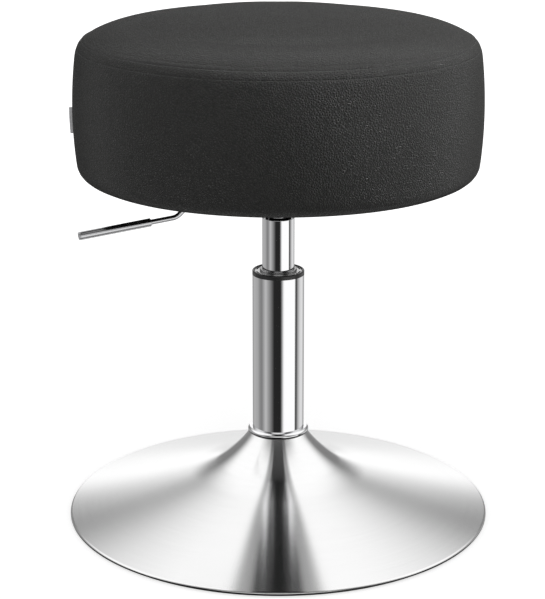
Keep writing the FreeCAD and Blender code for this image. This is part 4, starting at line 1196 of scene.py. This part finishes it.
def arc_height(centre: Vector, radius: float, across: float) -> float:
    """The height of an arc's upper side at a distance from the axis."""
    return centre.y + math.sqrt(radius ** 2 - (across - centre.x) ** 2)


def dip(away: float, depth: float, width: float) -> float:
    """The depth of a rounded groove at a distance from its middle."""
    share = min(abs(away) / width, 1.0)
    return depth * (1.0 - share * share) ** 2


@dataclass
class Cushion:
    """The padded seat: leather, foam, stitching, tag, staples and dust cloth."""

    bottom: float = 341.6
    top: float = 491.7
    crown: float = 1124.0
    crown_reach: float = 145.0
    shoulder: float = 95.5
    shoulder_reach: float = 174.4
    turn: float = 24.7
    band_top: float = 188.1
    band_arc: float = 424.0
    band_foot: float = 189.0
    band_foot_height: float = 353.1
    hem: float = 12.9
    hem_reach: float = 176.2
    leather: float = 1.2
    seam_height: float = 460.6
    topstitch_radius: float = 181.6
    groove: float = 0.5
    groove_width: float = 0.8
    topstitch_groove: float = 0.55
    topstitch_width: float = 1.1
    allowance_rise: float = 0.22
    panel_waves: float = 0.30
    band_waves: float = 0.35
    wave_scale: float = 0.011
    pleat_height: float = 0.55
    coarse: float = 4.0
    fine: float = 0.3
    row_gaps: tuple[tuple[float, float], ...] = ((1.8, 0.3), (5.0, 0.9), (math.inf, 3.2))
    pucker: float = 0.10
    wrap_inner: float = 150.0
    cloth_low: float = 0.72
    cloth_high: float = 1.18
    cloth_sag: float = 0.28
    board_radius: float = 173.0
    board_thickness: float = 12.0
    stitch_pitch: float = 3.9
    stitch_sides: int = 8
    stitch_rings: int = 7
    stitch_half: float = 0.40
    stitch_sink: float = 0.30
    stitch_rise: float = 0.34
    tag_angle: float = 175.0
    tag_bottom: float = 374.7
    tag_height: float = 25.0
    tag_reach: float = 7.0
    tag_thick: float = 0.32
    tag_groove: float = 0.9
    tag_groove_width: float = 1.6
    tag_rows: int = 24
    tag_columns: int = 20
    staple_radius: float = 157.5
    staple_count: int = 62
    staple_half: float = 4.8
    staple_wire: float = 0.35
    staple_bend: float = 0.25
    staple_sides: int = 8
    segments: int = 720

    def __post_init__(self) -> None:
        """Works out the centres of the arcs that the outer side is made of."""
        self.crown_centre = Vector((0.0, self.top - self.crown))
        height = arc_height(self.crown_centre, self.crown, self.crown_reach)
        self.crown_end = Vector((self.crown_reach, height))
        share = 1.0 - self.shoulder / self.crown
        self.shoulder_centre = self.crown_centre + (self.crown_end - self.crown_centre) * share
        height = arc_height(self.shoulder_centre, self.shoulder, self.shoulder_reach)
        self.shoulder_end = Vector((self.shoulder_reach, height))
        share = 1.0 - self.turn / self.shoulder
        self.turn_centre = self.shoulder_centre + (self.shoulder_end - self.shoulder_centre) * share
        self.band_top_height = arc_height(self.turn_centre, self.turn, self.band_top)
        rise = self.seam_height - self.turn_centre.y
        self.seam = Vector((self.turn_centre.x + math.sqrt(self.turn ** 2 - rise ** 2), self.seam_height))
        height = arc_height(self.turn_centre, self.turn, self.topstitch_radius)
        self.topstitch = Vector((self.topstitch_radius, height))
        self.swelling = Swelling()

    def spread(self, corners: Sequence[Corner], spacing: float) -> list[Spot]:
        """Even spots along a chain of arcs, with the direction square to it.

        Args:
            corners: The chain's corners, from the seam up or from the seam down.
            spacing: The distance between two spots, in millimetres.

        Returns:
            The spots, whose run counts from the first one.
        """
        line = trace(corners, closed=False, step=0.01)
        runs = [0.0]
        for first, second in zip(line, line[1:]):
            runs.append(runs[-1] + (second - first).length)
        count = max(2, round(runs[-1] / spacing))
        side = 1.0 if line[-1].y > line[0].y else -1.0
        spots, index = [], 0
        for step in range(count + 1):
            run = runs[-1] * step / count
            while index < len(runs) - 2 and runs[index + 1] < run:
                index += 1
            share = (run - runs[index]) / (runs[index + 1] - runs[index])
            way = (line[index + 1] - line[index]).normalized()
            place = line[index].lerp(line[index + 1], share)
            spots.append(Spot(place, Vector((way.y, -way.x)) * side, run))
        return spots

    def crown_chain(self) -> list[Corner]:
        """The outer side from the seam up to the axis."""
        return [
            Corner(*self.seam, arc=self.turn),
            Corner(*self.shoulder_end, arc=self.shoulder),
            Corner(*self.crown_end, arc=self.crown),
            Corner(0.0, self.top),
        ]

    def band_chain(self) -> list[Corner]:
        """The outer side from the seam down to the inner edge of the wrapped hem."""
        return [
            Corner(*self.seam, arc=self.turn, turn=-1),
            Corner(self.band_top, self.band_top_height, arc=self.band_arc, turn=-1),
            Corner(self.band_foot, self.band_foot_height, arc=self.hem, turn=-1),
            Corner(self.hem_reach, self.bottom),
            Corner(self.wrap_inner, self.bottom),
        ]

    def sides(self, inset: float = 0.0) -> tuple[list[Vector], list[Vector]]:
        """The outer side in coarse steps, drawn in by an inset: from the axis down, and below the seam."""
        above, below = ([spot.place - spot.out * inset for spot in self.spread(chain, self.coarse)]
                        for chain in (self.crown_chain(), self.band_chain()[:4]))
        return above[::-1], below[1:]

    def settled(self, place: Vector, angle: float, level: float) -> float:
        """How far the leather stands proud at a place, from its uneven padding."""
        return level * noise.noise(about(angle, place.x, place.y) * self.wave_scale)

    def sewn_in(self, spot: Spot, angle: float) -> float:
        """How far the leather is drawn in by the seam and puckered between its stitches."""
        seam_turns = round(TURN * self.seam.x / self.stitch_pitch)
        pucker = 0.5 + 0.5 * math.cos(angle * seam_turns)
        near = max(0.0, 1.0 - spot.run / 5.0)
        return dip(spot.run, self.groove, self.groove_width) + self.pucker * pucker * near

    def build(self) -> None:
        """Builds all of the seat's soft pieces and trim."""
        above, below = self.sides()
        self.swelling.run(above + below + [Vector((0.0, self.bottom))], self.seam, self.bottom + 7.0)
        self.build_panel()
        self.build_band()
        self.build_foam()
        self.build_stitches("seam_stitches", self.seam, 0.55, 0.32)
        self.build_stitches("topstitches", self.topstitch, 0.28, 0.30)
        self.build_tag()
        self.build_cloth()
        self.build_staples()

    def chain_rows(self, corners: Sequence[Corner], marks: Sequence[float]) -> list[Spot]:
        """Spots along a chain that are close together near the sewn lines.

        Args:
            corners: The chain's corners.
            marks: Runs of the sewn lines along the chain.

        Returns:
            The chosen spots.
        """
        fine = self.spread(corners, self.fine)
        rows = [fine[0]]
        for spot in fine[1:-1]:
            near = min(abs(spot.run - mark) for mark in marks)
            gap = next(gap for reach, gap in self.row_gaps if near < reach)
            if spot.run - rows[-1].run >= gap - 1e-6:
                rows.append(spot)
        return rows + [fine[-1]]

    def build_leather(self, name: str, node: str, rows: Sequence[Spot],
                      rise: Callable[[Spot, float], float]) -> None:
        """Builds one panel of leather.

        Args:
            name: The piece's name.
            node: The carried-over node that it replaces.
            rows: The spots of its outer side.
            rise: Gives how far a spot stands proud at an angle, in millimetres.
        """
        def lift(row: int, angle: float) -> Vector:
            """Moves a point of the outer side, and leaves the inner side where it is."""
            if row >= len(rows):
                return Vector((0.0, 0.0))
            return rows[row].out * rise(rows[row], angle)

        outline = [spot.place for spot in rows]
        outline += [spot.place - spot.out * self.leather for spot in reversed(rows)]
        piece = lathe(name, outline, self.segments, lift=lift, crease=60.0)
        settle(piece, Body.SEAT, Slot.LEATHER, [node], mirrored=False)

    def build_panel(self) -> None:
        """Builds the domed top panel down to the seam."""
        chain = self.crown_chain()
        fine = self.spread(chain, self.fine)
        stitch = min(fine, key=lambda spot: (spot.place - self.topstitch).length).run

        def rise(spot: Spot, angle: float) -> float:
            """How far the panel stands proud, drawn in at both sewn lines."""
            between = max(0.0, 1.0 - abs(spot.run / stitch - 0.5) * 2.0) if spot.run < stitch else 0.0
            proud = self.allowance_rise * between - self.sewn_in(spot, angle)
            proud -= dip(spot.run - stitch, self.topstitch_groove, self.topstitch_width)
            proud += self.settled(spot.place, angle, self.panel_waves) * min(1.0, spot.run / 12.0)
            return proud + self.swelling.rise(spot, angle, self.seam) * min(1.0, spot.run / 25.0)

        self.build_leather("seat_top_leather", "top_panel", self.chain_rows(chain, (0.0, stitch)), rise)

    def pleat_heights(self) -> list[float]:
        """The height of the wrapped hem's pleats at each step of the turn."""
        chooser = random.Random(7)
        pleats, angle = [], 0.0
        while angle < TURN:
            pleats.append((angle, chooser.uniform(0.5, 1.0), chooser.uniform(0.010, 0.022)))
            angle += chooser.uniform(0.045, 0.085)
        heights = [0.0] * self.segments
        for step in range(self.segments):
            for middle, level, width in pleats:
                away = (TURN * step / self.segments - middle + math.pi) % TURN - math.pi
                if abs(away) < width:
                    height = level * (0.5 + 0.5 * math.cos(math.pi * away / width))
                    heights[step] = max(heights[step], height)
        return heights

    def build_band(self) -> None:
        """Builds the side band from the seam round the hem to the wrapped edge."""
        rows = self.chain_rows(self.band_chain(), (0.0,))
        heights = self.pleat_heights()

        def rise(spot: Spot, angle: float) -> float:
            """How far the band stands proud, drawn in at the seam and the tag and pleated below."""
            proud = -self.sewn_in(spot, angle)
            wall = min(1.0, spot.run / 15.0) * min(1.0, max(0.0, (rows[-1].run - spot.run) / 40.0))
            proud += self.settled(spot.place, angle, self.band_waves) * wall
            proud += self.swelling.rise(spot, angle, self.seam) * wall
            if spot.place.y > self.bottom + 12.0:
                away = abs((angle - math.radians(self.tag_angle) + math.pi) % TURN - math.pi)
                groove = dip(away * spot.place.x, self.tag_groove, self.tag_groove_width)
                proud -= groove * min(1.0, spot.run / 3.0)
            if spot.place.y < self.bottom + 4.0:
                under = min(1.0, max(0.0, (self.hem_reach + 4.0 - spot.place.x) / 14.0))
                step = round(angle / TURN * self.segments) % self.segments
                proud += self.pleat_height * heights[step] * under
            return proud

        self.build_leather("seat_side_leather", "side_band", rows, rise)

    def build_foam(self) -> None:
        """Builds the foam block under the leather."""
        above, below = self.sides(self.leather + 0.25)
        floor = self.bottom + self.leather + 0.2
        deck = floor + self.board_thickness + 0.1
        rim = self.board_radius + 0.2
        outline = above + [Vector((spot.x, max(spot.y, floor))) for spot in below]
        outline += [Vector((rim, floor)), Vector((rim, deck)), Vector((0.0, deck))]
        piece = lathe("seat_foam_core", outline, 128, closed=False, crease=40.0)
        settle(piece, Body.SEAT, Slot.FOAM, ["foam_block"], mirrored=False)

    def build_stitches(self, name: str, line: Vector, depth: float, thread: float) -> None:
        """Builds one row of stitches along a sewn ring.

        Args:
            name: The piece's name.
            line: The ring's place on the outer side.
            depth: How deep the stitches lie in the groove.
            thread: The thread's radius.
        """
        out = (line - self.turn_centre).normalized()
        count = round(TURN * line.x / self.stitch_pitch)
        half = self.stitch_half * TURN / count
        points, faces = [], []
        for index in range(count):
            faces += tube_faces(self.stitch_rings, self.stitch_sides, len(points))
            for ring in range(self.stitch_rings):
                share = ring / (self.stitch_rings - 1)
                angle = TURN * index / count + half * (2.0 * share - 1.0)
                swell = math.sin(math.pi * share) ** 0.5
                level = -depth - self.stitch_sink + self.stitch_rise * swell
                radius = thread * (0.45 + 0.55 * swell)
                for side in range(self.stitch_sides):
                    turn = TURN * side / self.stitch_sides
                    spot = line + out * (level + radius * math.cos(turn))
                    spot += Vector((-out.y, out.x)) * (radius * math.sin(turn))
                    points.append(about(angle, spot.x, spot.y) * MM)
        piece = make_piece(name, points, faces, 60.0)
        settle(piece, Body.SEAT, Slot.LEATHER, finish=THREAD, mirrored=False)

    def band_radius(self, height: float) -> float:
        """The band's outer radius at a height."""
        half = (self.band_top_height - self.band_foot_height) / 2.0
        lean = (self.band_top - self.band_foot) / (2.0 * half)
        above = height - (self.band_top_height + self.band_foot_height) / 2.0
        middle = (self.band_top + self.band_foot) / 2.0
        sag = math.sqrt(self.band_arc ** 2 - half ** 2)
        return middle - sag + math.sqrt(self.band_arc ** 2 - above ** 2) + lean * above

    def build_tag(self) -> None:
        """Builds the blank folded tag that is sewn into the band's closing seam."""
        turn = Matrix.Rotation(math.radians(self.tag_angle), 4, "Z")
        rows, columns = self.tag_rows, self.tag_columns
        points, faces = [], []
        for layer in (1.0, -1.0):
            for row in range(rows + 1):
                height = self.tag_bottom + self.tag_height * row / rows
                edge = self.band_radius(height) - 0.8
                for column in range(columns + 1):
                    share = column / columns
                    reach = edge + (self.tag_reach + 0.6) * share
                    droop = 0.9 * share ** 2 * math.sin(math.pi * (0.2 + 0.8 * row / rows))
                    belly = 0.28 * math.sin(math.pi * min(share * 1.1, 1.0)) + self.tag_thick / 2.0
                    across = droop - 0.3 * share + layer * belly * (1.0 - share ** 6)
                    points.append(turn @ (Vector((reach, across, height)) * MM))
        wide = columns + 1
        size = (rows + 1) * wide
        for layer in range(2):
            for row in range(rows):
                for column in range(columns):
                    base = layer * size + row * wide + column
                    quad = (base, base + 1, base + wide + 1, base + wide)
                    faces.append(quad if layer == 0 else quad[::-1])
        edges = [(row * wide + column, wide) for row in range(rows) for column in (0, columns)]
        edges += [(row * wide + column, 1) for column in range(columns) for row in (0, rows)]
        faces += [(low, low + step, size + low + step, size + low) for low, step in edges]
        piece = make_piece("side_label", points, faces, 70.0)
        settle(piece, Body.SEAT, Slot.TAG, ["side_tag"], mirrored=False)

    def build_cloth(self) -> None:
        """Builds the dust cloth, sagging between the seat plate and its stapled edge."""
        inner = self.wrap_inner - 0.3
        rings = [0.0, 14.0, 28.0, 42.0, 56.0, 70.0]
        rings += [78.0, 84.0, 96.0, 106.0, 116.0, 126.0, 134.0, 141.0, 146.0, inner]
        outline = [Vector((radius, self.bottom + self.cloth_low)) for radius in rings]
        outline += [Vector((radius, self.bottom + self.cloth_high)) for radius in reversed(rings)]

        def lift(row: int, angle: float) -> Vector:
            """Sags the cloth a little between the plate and its stapled edge."""
            span = max(0.0, 1.0 - abs((outline[row].x - 128.0) / 22.0))
            wave = 0.5 + 0.5 * math.sin(23.0 * angle + 2.0 * math.sin(3.0 * angle))
            return Vector((0.0, -self.cloth_sag * span * wave))

        piece = lathe("seat_dust_cloth", outline, 240, lift=lift, crease=50.0)
        settle(piece, Body.SEAT, Slot.CLOTH, ["dust_cloth"], mirrored=False)

    def build_staples(self) -> None:
        """Builds the staples that hold the wrapped hem."""
        chooser = random.Random(19)
        half, bend = self.staple_half, self.staple_bend
        stops = [(-half, 1.6), (-half, bend), (bend - half, 0.0),
                 (half - bend, 0.0), (half, bend), (half, 1.6)]
        points, faces = [], []
        for index in range(self.staple_count):
            middle = TURN * (index + chooser.uniform(-0.18, 0.18)) / self.staple_count
            tilt = chooser.uniform(-0.16, 0.16)
            radius = self.staple_radius + chooser.uniform(-1.4, 1.4)
            centre = about(middle, radius, self.bottom - 0.35)
            along = Vector((-math.sin(middle + tilt), math.cos(middle + tilt), 0.0))
            path = [centre + along * run + Vector((0.0, 0.0, up)) for run, up in stops]
            side = along.cross(Vector((0.0, 0.0, 1.0))).normalized()
            faces += tube_faces(len(path), self.staple_sides, len(points))
            for place, spot in enumerate(path):
                before, after = path[max(place - 1, 0)], path[min(place + 1, len(path) - 1)]
                up = side.cross((after - before).normalized())
                for corner in range(self.staple_sides):
                    turn = TURN * (corner + 0.5) / self.staple_sides
                    across = side * (self.staple_wire * 1.5 * math.cos(turn))
                    points.append((spot + across + up * (self.staple_wire * math.sin(turn))) * MM)
        settle(make_piece("hem_staples", points, faces, 50.0), Body.SEAT, Slot.ZINC, mirrored=False)


class CarriedNodes:
    """The nodes that keep their own shape and get a finish."""

    def dress(self) -> None:
        """Gives each carried-over node the finish of its slot."""
        slots = {row["node"]: row["material_slot"] for row in frame["record"]["subparts"]}
        overhead = frame["record"]["behaviour"]["bodies"][Body.SEAT.value]
        for name, piece in frame["nodes"].items():
            if piece.hide_render:
                continue
            finish = FINISHES[Slot(slots[name])].material()
            for place in piece.material_slots:
                place.material = finish
            piece.visible_glossy = name not in overhead
            log.info("%s dressed in %s", name, finish.name)


# The brightness of the studio's cards by azimuth in degrees, 0 towards the camera
CARDS = (
    (-180.0, 0.85), (-170.0, 0.85), (-162.0, 0.34), (-150.0, 0.36), (-135.0, 0.50), (-104.0, 0.43),
    (-91.0, 0.29), (-79.0, 0.24), (-68.0, 0.41), (-57.5, 0.57), (-47.5, 0.40), (-37.0, 0.26),
    (-27.0, 0.12), (-19.0, 0.022), (10.5, 0.020), (16.5, 0.35), (25.0, 1.10), (31.0, 1.17),
    (77.0, 1.17), (83.0, 0.06), (88.0, 0.06), (97.0, 0.40), (111.0, 0.76), (129.0, 0.86),
    (150.0, 0.40), (162.0, 0.34), (170.0, 0.85), (180.0, 0.85),
)


@dataclass
class Studio:
    """The camera, the soft lamps, the white floor and the surroundings that metal shows."""

    camera_place: tuple[float, float, float] = (-0.0056, -1.700, 0.7299)
    pitch: float = 16.84
    lens: float = 110.84
    sensor: float = 36.0
    lamp_target: tuple[float, float, float] = (0.0, 0.0, 0.30)
    leather_pieces: tuple[str, ...] = ("seat_top_leather", "seat_side_leather", "seam_stitches",
                                       "topstitches")
    floor_half: float = 8.0
    floor_level: float = 0.86
    floor_glow: float = 0.62
    glow_fade: tuple[float, float] = (0.35, 1.6)
    flag_radius: float = 0.168
    flag_height: float = 0.3405
    flag_reach: float = 0.14
    flag_fade: float = 1.12
    flag_corners: int = 96
    column_flag_near: float = 0.020
    column_flag_reach: float = 0.25
    gap_middle: float = 0.141
    gap_taper: float = 0.144
    box_low: float = 0.20
    box_high: float = 1.0
    soft_light: float = 0.42
    floor_card: float = 0.38
    floor_fade: tuple[float, float] = (-0.62, -0.40)
    horizon: tuple[float, float] = (-0.10, 0.02)

    def build(self) -> None:
        """Builds the studio round the stool."""
        bpy.context.scene.view_settings.view_transform = "Standard"
        self.build_camera()
        self.build_floor()
        self.build_flag("lever_flag", -self.flag_radius, self.flag_reach)
        self.build_flag("column_flag", self.column_flag_near, self.column_flag_reach)
        self.build_world()
        leather = bpy.data.collections.new("leather_pieces")
        for name in self.leather_pieces:
            leather.objects.link(bpy.context.scene.objects[name])
        self.build_lamp("key_lamp", (1.15, -0.10, 1.40), 0.65, 29.0, height=0.36, only=leather)
        self.build_lamp("fill_lamp", (-1.5, -0.2, 0.95), 0.7, 7.0, only=leather)
        self.build_lamp("front_lamp", (0.1, -1.9, 0.7), 1.2, 14.0)
        self.build_lamp("top_lamp", (0.0, 0.35, 2.1), 1.6, 1.4)

    def build_camera(self) -> None:
        """Makes the camera at the picture's viewing angle."""
        data = bpy.data.cameras.new("camera")
        data.lens = self.lens
        data.sensor_width = self.sensor
        camera = bpy.data.objects.new("camera", data)
        camera.location = self.camera_place
        camera.rotation_euler = (math.radians(90.0 - self.pitch), 0.0, 0.0)
        bpy.context.scene.collection.objects.link(camera)
        bpy.context.scene.camera = camera

    def build_lamp(self, name: str, place: tuple[float, float, float], size: float, power: float,
                   height: float = 0.0, only: bpy.types.Collection | None = None) -> None:
        """Adds one soft lamp that faces the seat.

        Args:
            name: The lamp's name.
            place: Where it stands.
            size: The width of its face.
            power: Its power in watts.
            height: The height of its face, where it isn't square.
            only: The pieces that it lights and that mirror it, where it isn't for all.
        """
        data = bpy.data.lights.new(name, "AREA")
        data.shape = "RECTANGLE"
        data.size = size
        data.size_y = height or size
        data.energy = power
        lamp = bpy.data.objects.new(name, data)
        lamp.location = place
        way = Vector(self.lamp_target) - Vector(place)
        lamp.rotation_euler = way.to_track_quat("-Z", "Y").to_euler()
        lamp.visible_glossy = only is not None
        if only:
            lamp.light_linking.receiver_collection = only
        bpy.context.scene.collection.objects.link(lamp)

    def build_floor(self) -> None:
        """Lays the floor, which looks white and keeps the stool's shadow."""
        half = self.floor_half
        corners = [Vector((x * half, y * half, 0)) for x, y in ((-1, -1), (1, -1), (1, 1), (-1, 1))]
        floor = make_piece("floor", corners, [(0, 1, 2, 3)])
        made, graph = new_material("studio_floor")
        camera, glossy = (graph.add("ShaderNodeLightPath", out=ray)
                          for ray in ("Is Camera Ray", "Is Glossy Ray"))
        x, y, _ = graph.axes(graph.place())
        glow = graph.mix((x * x + y * y).root().step(*self.glow_fade), grey(self.floor_glow), grey(1.0))
        plain = {"Base Color": (*grey(self.floor_level), 1.0), "Roughness": 0.9, "Specular IOR Level": 0.0}
        bright = dict(plain, **{"Emission Color": glow, "Emission Strength": 1.0})
        seen = graph.add("ShaderNodeBsdfPrincipled", sockets=bright)
        unseen = graph.add("ShaderNodeBsdfPrincipled", sockets=plain)
        clear = graph.add("ShaderNodeBsdfTransparent")
        shade = graph.blend(glossy, graph.blend(camera, unseen, seen), clear)
        graph.add("ShaderNodeOutputMaterial", sockets={"Surface": shade})
        floor.data.materials.append(made)

    def build_flag(self, name: str, near: float, reach: float) -> None:
        """Hangs a black disc under the seat that only metal close below it mirrors.

        Args:
            name: The disc's name.
            near: How far in front of the axis its straight edge is.
            reach: How far from it a mirrored place may be.
        """
        cut = math.asin(near / self.flag_radius)
        last = self.flag_corners - 1
        angles = [math.pi + cut + (math.pi - 2.0 * cut) * step / last for step in range(last + 1)]
        corners = [about(angle, self.flag_radius, self.flag_height) for angle in angles]
        flag = make_piece(name, corners, [tuple(range(len(corners)))])
        made, graph = new_material("studio_" + name)
        length = graph.add("ShaderNodeLightPath", out="Ray Length")
        black = graph.add("ShaderNodeBsdfDiffuse", sockets={"Color": (*grey(0.01), 1.0)})
        clear = graph.add("ShaderNodeBsdfTransparent")
        shade = graph.blend(1.0 - length.step(reach, reach * self.flag_fade), clear, black)
        graph.add("ShaderNodeOutputMaterial", sockets={"Surface": shade})
        flag.data.materials.append(made)
        for unseen in ("visible_camera", "visible_diffuse", "visible_transmission", "visible_shadow"):
            setattr(flag, unseen, False)

    def build_world(self) -> None:
        """Makes the surroundings: white for the eye, with dark and pale cards for metal."""
        world = bpy.data.worlds.new("studio")
        bpy.context.scene.world = world
        world.use_nodes = True
        world.cycles.sampling_method = "NONE"
        graph = Graph(world.node_tree)
        x, y, z = graph.axes(graph.add("ShaderNodeTexCoord", out="Generated"))
        cards = graph.add("ShaderNodeValToRGB", sockets={0: x.angle_to(-y) / TURN + 0.5})
        ramp = cards.socket.node.color_ramp
        while len(ramp.elements) < len(CARDS):
            ramp.elements.new(1.0)
        for element, (azimuth, level) in zip(ramp.elements, CARDS):
            element.position = azimuth / 360.0 + 0.5
            element.color = (*grey(level), 1.0)
        cards = graph.mix(z.step(*self.floor_fade), grey(self.floor_card), cards)
        sky = graph.mix(z.step(*self.horizon), cards, self.ceiling(graph, x, y, z))
        camera, glossy, through = (graph.add("ShaderNodeLightPath", out=ray) for ray in
                                   ("Is Camera Ray", "Is Glossy Ray", "Is Transmission Ray"))
        soft, shown, white = (graph.add("ShaderNodeBackground", sockets={0: colour, 1: strength})
                              for colour, strength in (((*grey(1.0), 1.0), self.soft_light), (sky, 1.0),
                                                       ((*grey(1.0), 1.0), 1.0)))
        shade = graph.blend(through.larger(camera), graph.blend(glossy, soft, shown), white)
        graph.add("ShaderNodeOutputWorld", sockets={"Surface": shade})

    def ceiling(self, graph: Graph, x: Wire, y: Wire, z: Wire) -> Wire:
        """Makes the upper half: two soft boxes with a dark gap between them, over a white backdrop.

        Args:
            graph: The world's graph.
            x: How far a direction points to the right.
            y: How far it points away from the camera.
            z: How far it points up.

        Returns:
            The colour seen in that direction.
        """
        gap = x.size() / (self.gap_middle - self.gap_taper * y).larger(0.02)
        boxes = 0.35 * gap.step(0.74, 0.94) + 0.65 * gap.step(1.2, 1.75)
        side = (x.size() - 0.3).larger(0.0)
        lit = self.box_low + (self.box_high - self.box_low) * (z + 0.6 * side).step(0.42, 0.84)
        lit = lit * (0.25 + 0.75 * y.step(-0.70, -0.15))
        dim = 0.010 + 0.037 * (1.0 - y.step(-0.3, 0.35))
        front = 0.9 * (1.0 - y.step(-0.92, -0.74)) * z.step(0.0, 0.12)
        backdrop = (1.0 - x.size().step(0.23, 0.38)) * (1.0 - z.step(0.34, 0.72)) * y.step(0.0, 0.3)
        level = (boxes * lit).larger(backdrop).larger(front).larger(dim)
        return graph.mix(level, grey(0.0), grey(1.15))


def main() -> None:
    """Builds the stool in order."""
    logging.basicConfig(level=logging.INFO, format="%(name)s: %(message)s")
    Base().build()
    Column().build()
    Lever().build()
    Cushion().build()
    CarriedNodes().dress()
    Studio().build()


if __name__ == "__main__":
    main()
